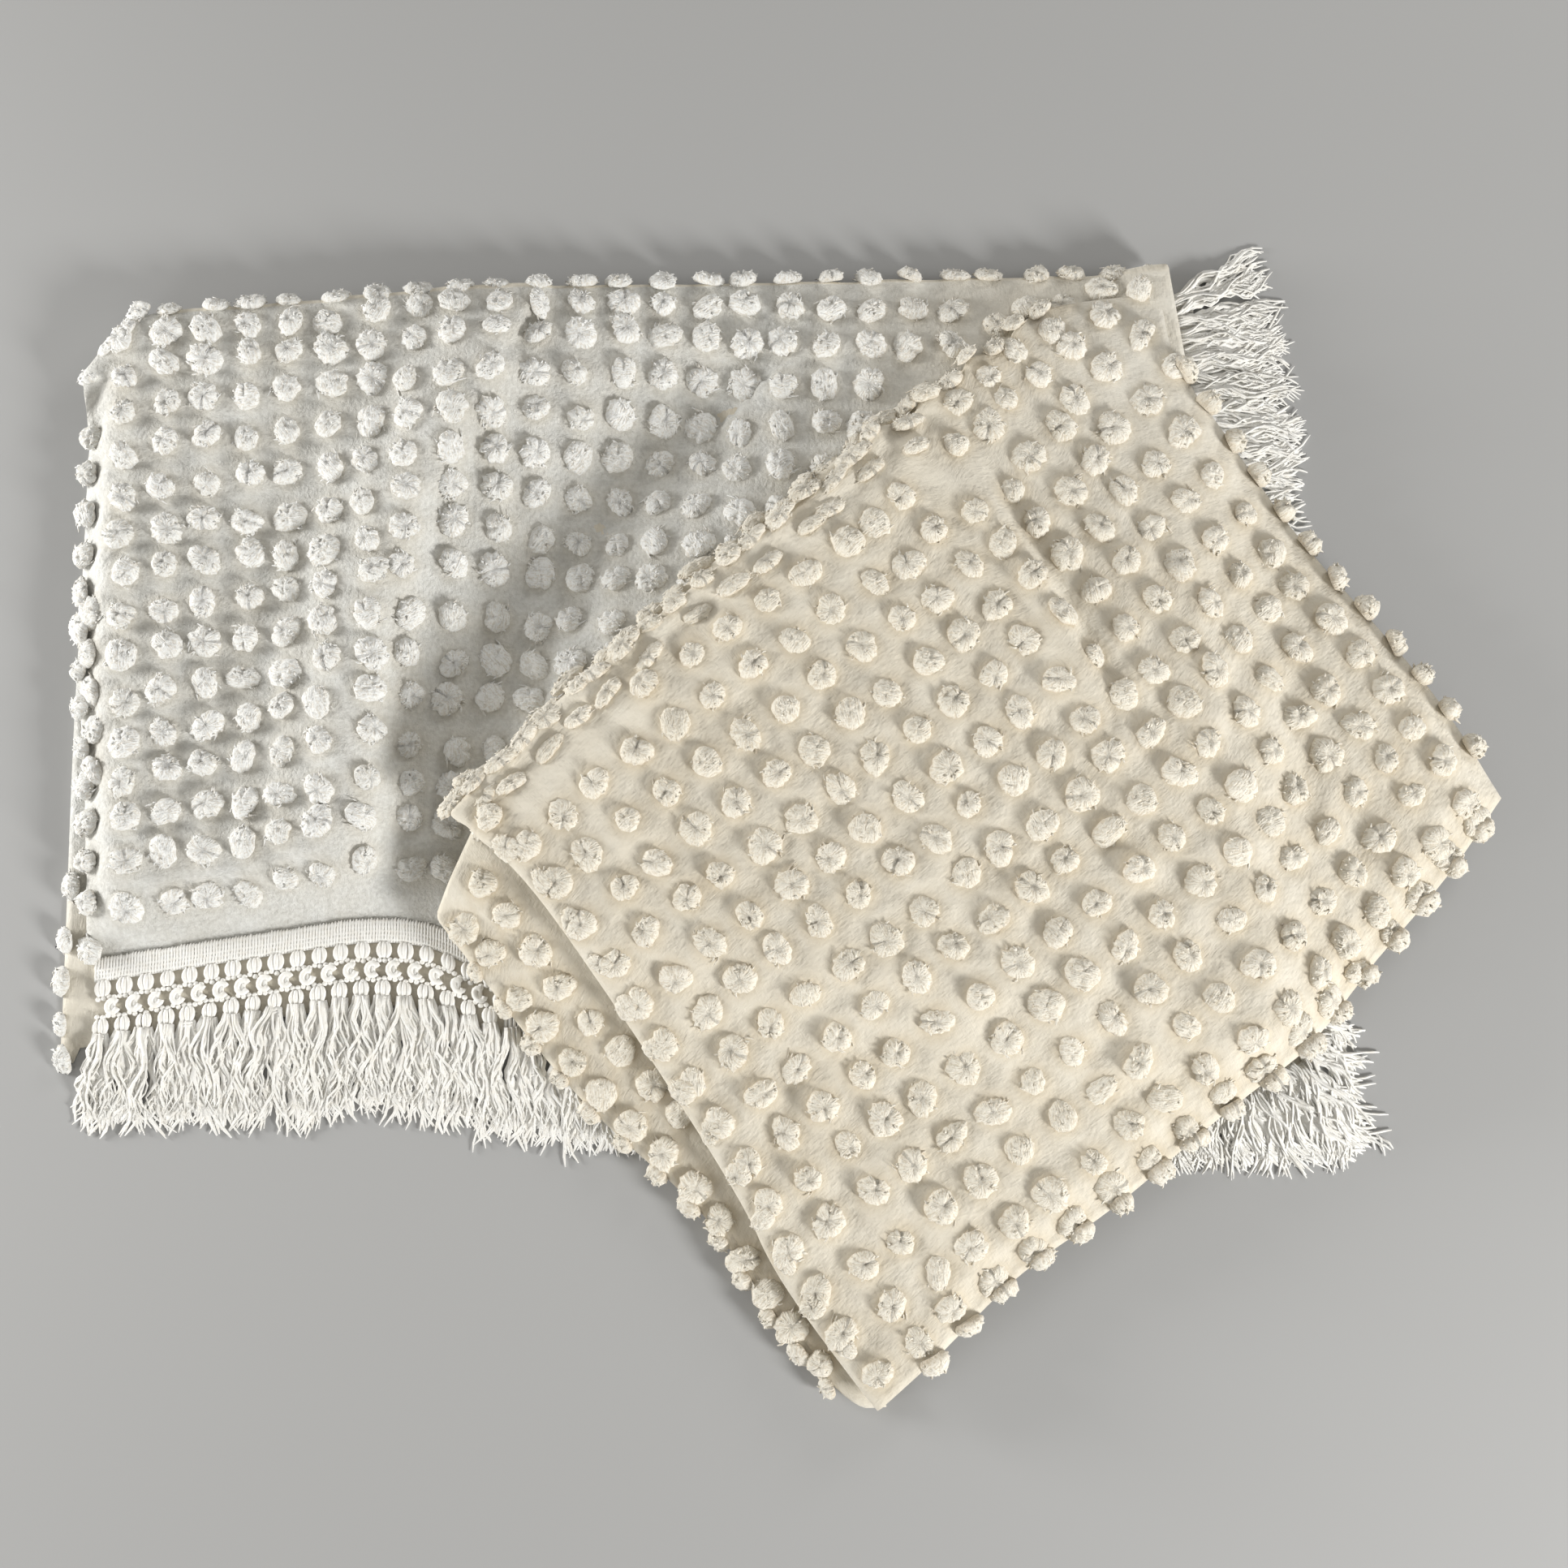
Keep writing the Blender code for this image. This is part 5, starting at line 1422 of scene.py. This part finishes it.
edge_parts = [
    stood_up(band_tufts - band_up * SINK, band_up, 1.0, smooth_shapes, FLAP_TUFT_RADIUS),
    stood_up(hung, hang_up, 0.9, frizzy_shapes, FLAP_TUFT_RADIUS, **HANGING),
    stood_up(pressed, near_up, 1.0, smooth_shapes, FLAP_TUFT_RADIUS, **PRESSED),
    stood_up(fold_tufts, fold_up, 0.9, frizzy_shapes, FLAP_TUFT_RADIUS, **FOLDED_OVER),
    stood_up(lip_places, lip_up, 0.95, frizzy_shapes, FLAP_TUFT_RADIUS, lip_run, **CAUGHT_IN_FOLD),
    stood_up(inner_tufts, inner_up, 1.0, smooth_shapes, FLAP_TUFT_RADIUS, inner_run, **BESIDE_FOLD),
]
edge_tuft_piece = yarn_piece(
    "edge_tufts", *put_together(edge_parts), chenille, "white_cotton", "spread_cloth")

# ------------------------------------------------------------------ knotted heading
# A ribbed tape is sewn along the edge.  Below it the cords are tied into three
# staggered rows of plump oval knots, with open gaps that show the layer beneath.
TAPE_DEPTH = 0.020
KNOT_PITCH = 0.020
KNOT_FIRST = -0.6325
KNOT_ROWS_AT = (0.0280, 0.0460, 0.0640)
HEADING_DEPTH = 0.0720
SEAT_GAP = 0.0004
OPEN_HEADING_END = -0.262
FRONT_FRINGE = [
    {"x": -0.640, "scale": 1.00, "tip_y": -0.320, "lean": -3.0},
    {"x": -0.423, "scale": 1.00, "tip_y": -0.316, "lean": 0.0},
    {"x": -0.348, "scale": 1.00, "tip_y": -0.305, "lean": 2.0},
    {"x": -0.273, "scale": 0.95, "tip_y": -0.328, "lean": 5.0},
    {"x": -0.205, "scale": 0.85, "tip_y": -0.342, "lean": 7.0},
    {"x": -0.124, "scale": 0.70, "tip_y": -0.342, "lean": 7.0},
    {"x": 0.300, "scale": 0.40, "tip_y": -0.350, "lean": 3.0},
    {"x": 0.400, "scale": 0.35, "tip_y": -0.356, "lean": 12.0},
    {"x": 0.478, "scale": 0.30, "tip_y": -0.352, "lean": 34.0},
]
SIDE_FRINGE = [
    {"y": -0.262, "scale": 0.30, "reach": 0.078, "lean": -50.0},
    {"y": -0.190, "scale": 0.30, "reach": 0.060, "lean": -36.0},
    {"y": 0.100, "scale": 0.30, "reach": 0.080, "lean": 0.0},
    {"y": 0.360, "scale": 0.35, "reach": 0.112, "lean": 0.0},
    {"y": 0.440, "scale": 0.35, "reach": 0.120, "lean": 4.0},
    {"y": 0.495, "scale": 0.35, "reach": 0.104, "lean": 34.0},
]
FRONT_TAPE_ENDS = (-0.640, 0.464)
SIDE_TAPE_ENDS = (-0.250, 0.490)
CORD_PITCH = 0.004
CORD_RADIUS = 0.0018
HEADING_TALL = 0.0085
# Root and tip tones: the root tone is painted shade low down between the heading's cords, and the crevice
# colour is painted shade in the yarn's crevices.
FRINGE_TONES = ((0.905, 0.88, 0.825), (0.915, 0.905, 0.865))
FRINGE_CREVICE_SHADE = (0.96, 0.945, 0.92)
FRINGE_SHEEN = 0.60
EDGE_STEPS = 120
fringe_yarn = yarn_finish(
    "fringe_cotton_yarn", FRINGE_TONES, FRINGE_TONES, FRINGE_CREVICE_SHADE, 0.0012, 0.0004)
fringe_yarn.node_tree.nodes["Principled BSDF"].inputs["Sheen Weight"].default_value = FRINGE_SHEEN
whole_edge = np.linspace(0.0, 1.0, EDGE_STEPS)
front_at = base_top(whole_edge, np.zeros(EDGE_STEPS))
side_at = base_top(np.ones(EDGE_STEPS), whole_edge)


def on_front(x, depth):
    """A place on the front trim: depth runs out from the cloth's edge."""
    scale = read(FRONT_FRINGE, "x", "scale", x)
    return np.interp(x, front_at[:, 0], front_at[:, 1]) - SEAT_GAP - depth * scale


def on_side(y, depth):
    """A place on the side trim: depth runs out from the cloth's edge."""
    scale = read(SIDE_FRINGE, "y", "scale", y)
    return np.interp(y, side_at[:, 1], side_at[:, 0]) + SEAT_GAP + depth * scale


def front_xyz(x, depth, z):
    """Points of the front trim."""
    x, depth, z = np.broadcast_arrays(x, depth, z)
    return np.stack([x, on_front(x, depth), z], axis=-1)


def side_xyz(y, depth, z):
    """Points of the side trim."""
    y, depth, z = np.broadcast_arrays(y, depth, z)
    return np.stack([on_side(y, depth), y, z], axis=-1)


def tape_ribs(place, start, end, pitch=0.0028):
    """Fat yarns laid across the tape side by side; their round ends scallop its edge."""
    at = np.arange(start, end, pitch)[:, None]
    depth = np.array([[-0.0012, 0.0010, 0.006, 0.012, 0.017, TAPE_DEPTH + 0.001]])
    lift = np.array([[0.0038, 0.0056, 0.0060, 0.0055, 0.0058, 0.0050]])
    at = at + rng.normal(0.0, 0.00018, (at.shape[0], depth.shape[1]))
    depth = depth + rng.normal(0.0, 0.0004, (at.shape[0], 1)) * np.array([[1.0, 1.0, 0.0, 0.0, 0.0, 0.0]])
    thick = np.array([[0.0009, 0.0016, 0.0016, 0.0015, 0.0016, 0.0014]])
    return bent_yarns(place(at, depth, lift), thick, 5)


def tape_base(place, start, end):
    """Flat yarns that run the length of the tape under its ribs."""
    at = np.linspace(start, end, 60)[None]
    depth = np.array([[0.0025], [0.0065], [0.0105], [0.0145], [0.0185]])
    return bent_yarns(place(at + 0.0 * depth, depth + 0.0 * at, 0.0040), np.full(at.shape, 0.0030), 4)


def barrel_knots(place, centres, depth):
    """Plump upright knots: three fat cords side by side, bowed out in the middle."""
    t = np.linspace(-1.0, 1.0, 6)[None]
    size = rng.uniform(0.94, 1.06, (len(centres), 1))
    bow = 1.0 - t ** 2
    pieces = []
    for lean in (-1.0, 0.0, 1.0):
        at = centres[:, None] + lean * (0.0024 + 0.0024 * bow) * size
        at = at + rng.normal(0.0, 0.0003, (len(centres), 1))
        height = 0.0056 + 0.0012 * bow + 0.0004 * (lean == 0.0) + 0.0 * at
        thick = (0.0018 + 0.0009 * bow) * size
        pieces.append(bent_yarns(place(at, depth + 0.0070 * t * size, height), thick, 6))
    return pieces


def curled_knots(place, centres, depth):
    """Round knots: a cord curled into a hook about a fat middle."""
    t = np.linspace(0.0, 1.0, 11)[None]
    size = rng.uniform(0.94, 1.06, (len(centres), 1))
    angle = mix(0.35, 5.6, t) + rng.uniform(-0.5, 0.5, (len(centres), 1))
    at = centres[:, None] + np.cos(angle) * 0.0050 * size
    deep = depth + np.sin(angle) * 0.0056 * size
    pieces = [bent_yarns(place(at, deep, 0.0068 + 0.0 * at), np.full(t.shape, 0.0030), 6)]
    t = np.linspace(-1.0, 1.0, 4)[None]
    at = centres[:, None] + 0.0 * t
    height = 0.0060 - 0.0012 * t ** 2 + 0.0 * at
    pieces.append(bent_yarns(place(at, depth + 0.0048 * t + 0.0 * at, height), np.full(t.shape, 0.0026), 6))
    return pieces


def bead_row(place, start, end, depth):
    """The run of small beads, four to a knot, that the hitches make between two rows of knots."""
    centres = np.arange(start, end, KNOT_PITCH / 4.0)
    t = np.linspace(-1.0, 1.0, 5)[None]
    at = centres[:, None] + 0.0024 * t
    swing = rng.normal(0.0, 0.0006, (len(centres), 1))
    swing = swing + np.where(np.arange(len(centres)) % 2, 0.0005, -0.0005)[:, None]
    thick = np.array([[0.0012, 0.0023, 0.0027, 0.0023, 0.0012]])
    return [bent_yarns(place(at, depth + swing + 0.0 * at, 0.0052 + 0.0 * at), thick, 6)]


def wrapped_necks(place, centres, depth):
    """The turns of cord that bind each tassel under the last row of knots."""
    t = np.linspace(0.0, 1.0, 9)[None]
    pieces = []
    for turn in range(2):
        angle = math.pi * t
        at = centres[:, None] - 0.0056 * np.cos(angle)
        height = 0.0024 + 0.0058 * np.sin(angle)
        path = place(at, depth + 0.0026 * turn, height)
        pieces.append(bent_yarns(path, np.full(t.shape, 0.0016), 4))
    return pieces


def plain_cords(place, start, end, lift):
    """The straight cords that run out from under the tape where no knots show."""
    at = np.arange(start, end, CORD_PITCH)[:, None]
    depths = np.linspace(TAPE_DEPTH, HEADING_DEPTH, 5)[None]
    return bent_yarns(place(at, depths, lift), np.full((1, 5), CORD_RADIUS), 4)


def heading_piece(name, parts, node):
    """A whole heading as one piece, with shade painted darker low down between its cords."""
    dressed = []
    for points, faces in parts:
        level = np.clip(points[:, 2] / HEADING_TALL, 0.0, 1.0)
        full, none = np.ones(len(points)), np.zeros(len(points))
        dressed.append((points, faces, {"depth": level, "tone": full, "ridge": none, "cream": none}))
    return yarn_piece(name, *put_together(dressed), fringe_yarn, "cream_fringe", node)


knots = np.arange(KNOT_FIRST, OPEN_HEADING_END, KNOT_PITCH)
between = knots + KNOT_PITCH / 2.0
heading = [tape_ribs(front_xyz, *FRONT_TAPE_ENDS), tape_base(front_xyz, *FRONT_TAPE_ENDS)]
row_one, row_two, row_three = KNOT_ROWS_AT
heading += barrel_knots(front_xyz, knots, row_one) + curled_knots(front_xyz, between, row_two)
heading += barrel_knots(front_xyz, knots, row_three)
for upper, lower in ((row_one, row_two), (row_two, row_three)):
    heading += bead_row(front_xyz, KNOT_FIRST - 0.004, OPEN_HEADING_END, (upper + lower) / 2.0)
heading += wrapped_necks(front_xyz, knots, HEADING_DEPTH)
heading.append(plain_cords(front_xyz, OPEN_HEADING_END + CORD_PITCH, FRONT_TAPE_ENDS[1], 0.0040))
front_heading = heading_piece("front_heading", heading, "fringe_front")

side = [tape_ribs(side_xyz, *SIDE_TAPE_ENDS), tape_base(side_xyz, *SIDE_TAPE_ENDS)]
side.append(plain_cords(side_xyz, *SIDE_TAPE_ENDS, 0.0036))
side_heading = heading_piece("side_heading", side, "fringe_side")

# ------------------------------------------------------------------ fringe strands
# Below the knots the cords are left loose as thin, wavy cotton strands that
# lie in a shallow heap on the table and fray at their tips.
STRAND_SECTIONS = 14
STRAND_RADIUS = 0.00138
LOCKS = 7
CORE_RADIUS = 0.0040
CORE_FADES = (0.35, 0.95)
CORE_END = 0.0002
CORE_SECTIONS = [0, 2, 4, 6, 8, 10, 13]
CORE_SIDES = 3
FULL_TASSEL = 42
HIDDEN_TASSEL = 12
SIDE_ROOT_DEPTH = 0.020
FRONT_TASSELS = [
    {"start": KNOT_FIRST, "end": -0.116, "pitch": 0.020, "strands": FULL_TASSEL},
    {"start": -0.106, "end": 0.300, "pitch": 0.020, "strands": HIDDEN_TASSEL},
    {"start": 0.304, "end": 0.490, "pitch": 0.018, "strands": FULL_TASSEL},
    {"start": 0.452, "end": 0.492, "pitch": 0.013, "strands": FULL_TASSEL, "set_back": 0.030},
]
SIDE_TASSELS = [
    {"start": -0.280, "end": -0.170, "pitch": 0.018, "strands": FULL_TASSEL},
    {"start": -0.165, "end": 0.290, "pitch": 0.020, "strands": HIDDEN_TASSEL},
    {"start": 0.300, "end": 0.492, "pitch": 0.018, "strands": FULL_TASSEL},
]
STRAND_FLOOR = 0.0012
HEAP_HEIGHT = 0.0080
LIES_ALONG = 0.86
LOCK_SPREAD = {"root": 0.0046, "more": 0.0064}
LOCK_DRIFT = 0.0080
STRAND_DRIFT = 0.0036
TIP_FRAY = 0.0070
# Each sway is how far it goes to the side and over what length it comes back.
LOCK_SWAY = (0.0052, 0.062)
STRAND_SWAY = (0.0016, 0.044)
STRAND_RISE = (0.0012, 0.028)


def lock_cores(paths):
    """The dense inside of each lock: a soft fat roll under its loose strands."""
    t = np.linspace(0.0, 1.0, STRAND_SECTIONS)[CORE_SECTIONS]
    radius = CORE_RADIUS * (1.0 - step_between(CORE_FADES, t)) + CORE_END
    radii = radius[None] * rng.uniform(0.85, 1.15, (len(paths), 1))
    return bent_yarns(paths[:, CORE_SECTIONS], radii, CORE_SIDES)


def swaying(t, length, size, pitch, rng):
    """A sideways wander along a strand, none at its root."""
    phase = rng.uniform(0.0, math.tau)
    turns = length / (pitch * rng.uniform(0.7, 1.4))
    return size * (np.sin(t * turns * math.tau + phase) - math.sin(phase)) * np.minimum(t * 2.5, 1.0)


def loose_strands(stretches, root, reach, rng):
    """Wavy strands from each tassel, gathered in locks that part and cross towards their tips."""
    paths, ranks, cores = [], [], []
    t = np.linspace(0.0, 1.0, STRAND_SECTIONS)
    for stretch in stretches:
        for centre in np.arange(stretch["start"], stretch["end"], stretch["pitch"]):
            out, length = reach(centre)
            out = np.array(out)
            across = np.array([-out[1], out[0]])
            begin = root(centre) - out * stretch.get("set_back", 0.0)
            for lock in range(LOCKS):
                side = (lock + rng.uniform(0.1, 0.9)) / LOCKS * 2.0 - 1.0
                drift = (LOCK_SPREAD["root"] + LOCK_SPREAD["more"] * ease(t * 3.0)) * side
                drift = drift + rng.normal(0.0, LOCK_DRIFT) * t ** 1.2
                drift = drift + swaying(t, length, *LOCK_SWAY, rng)
                lock_length = length * rng.uniform(0.84, 1.03)
                lock_top = rng.uniform(0.20, 1.0)
                flat = begin + out * (t * lock_length * LIES_ALONG)[:, None] + across * drift[:, None]
                if stretch["strands"] == FULL_TASSEL:
                    cores.append(np.column_stack([flat, 0.0038 + 0.0014 * np.sin(t * math.pi)]))
                for _ in range(max(2, stretch["strands"] // LOCKS)):
                    own = swaying(t, length, *STRAND_SWAY, rng)
                    own = own + rng.normal(0.0, 0.0012) + rng.normal(0.0, STRAND_DRIFT) * t ** 2.0
                    own = own + rng.normal(0.0, TIP_FRAY) * np.clip((t - 0.70) / 0.30, 0.0, 1.0) ** 1.5
                    own_length = lock_length * rng.uniform(0.88, 1.05)
                    top = lock_top * HEAP_HEIGHT + rng.uniform(-0.0016, 0.0016)
                    arch = np.sin(np.minimum(t * 1.10 + 0.12, 1.0) * math.pi) ** 0.6
                    z = 0.0048 * (1.0 - t) ** 2 + top * arch
                    z = z + swaying(t, length, *STRAND_RISE, rng)
                    flat = begin + out * (t * own_length)[:, None] + across * (drift + own)[:, None]
                    paths.append(np.column_stack([flat, np.maximum(z, STRAND_FLOOR)]))
                    ranks.append(lock_top)
    return np.array(paths), np.array(ranks), np.array(cores)


def front_root(x):
    """Where a front tassel leaves the heading."""
    return np.array([x, float(on_front(x, HEADING_DEPTH)) + 0.002])


def front_reach(x):
    """Which way a front tassel lies, and how long it is."""
    lean = math.radians(float(read(FRONT_FRINGE, "x", "lean", x)))
    drop = float(on_front(x, HEADING_DEPTH) - read(FRONT_FRINGE, "x", "tip_y", x))
    return (math.sin(lean), -math.cos(lean)), drop / math.cos(lean)


def side_root(y):
    """Where a side tassel leaves the heading."""
    return np.array([float(on_side(y, SIDE_ROOT_DEPTH)) - 0.002, y])


def side_reach(y):
    """Which way a side tassel lies, and how long it is."""
    lean = math.radians(float(read(SIDE_FRINGE, "y", "lean", y)))
    length = float(read(SIDE_FRINGE, "y", "reach", y))
    length = length - SIDE_ROOT_DEPTH * float(read(SIDE_FRINGE, "y", "scale", y))
    return (math.cos(lean), math.sin(lean)), length


def strand_piece(name, stretches, root, reach, node):
    """All the loose strands of one fringe, with the cores of their locks."""
    paths, ranks, cores = loose_strands(stretches, root, reach, rng)
    taper = np.concatenate([np.full(STRAND_SECTIONS - 1, 1.0), [0.40]]) * STRAND_RADIUS
    radii = taper[None] * rng.uniform(0.75, 1.15, (len(paths), 1))
    radii = radii * mix(1.7, 1.0, ease(ranks / 0.5))[:, None]
    points, faces = bent_yarns(paths, radii)
    each = len(points) // len(paths)
    values = {
        "depth": np.repeat(mix(0.82, 1.0, ranks), each),
        "tone": np.repeat(rng.uniform(0.0, 1.0, len(paths)), each),
        "ridge": np.zeros(len(points)),
        "cream": np.zeros(len(points)),
    }
    core_points, core_faces = lock_cores(cores)
    round_it = np.tile(np.arange(CORE_SIDES), len(core_points) // CORE_SIDES) * 0.0022
    full = np.ones(len(core_points))
    core_values = {"depth": 0.90 * full, "tone": 0.7 * full, "ridge": round_it, "cream": 0.0 * full}
    points, faces, values = put_together([(points, faces, values), (core_points, core_faces, core_values)])
    points[:, 2] = np.maximum(points[:, 2], 0.0)
    return yarn_piece(name, points, faces, values, fringe_yarn, "cream_fringe", node)


front_strands = strand_piece("front_strands", FRONT_TASSELS, front_root, front_reach, "fringe_front")
side_strands = strand_piece("side_strands", SIDE_TASSELS, side_root, side_reach, "fringe_side")
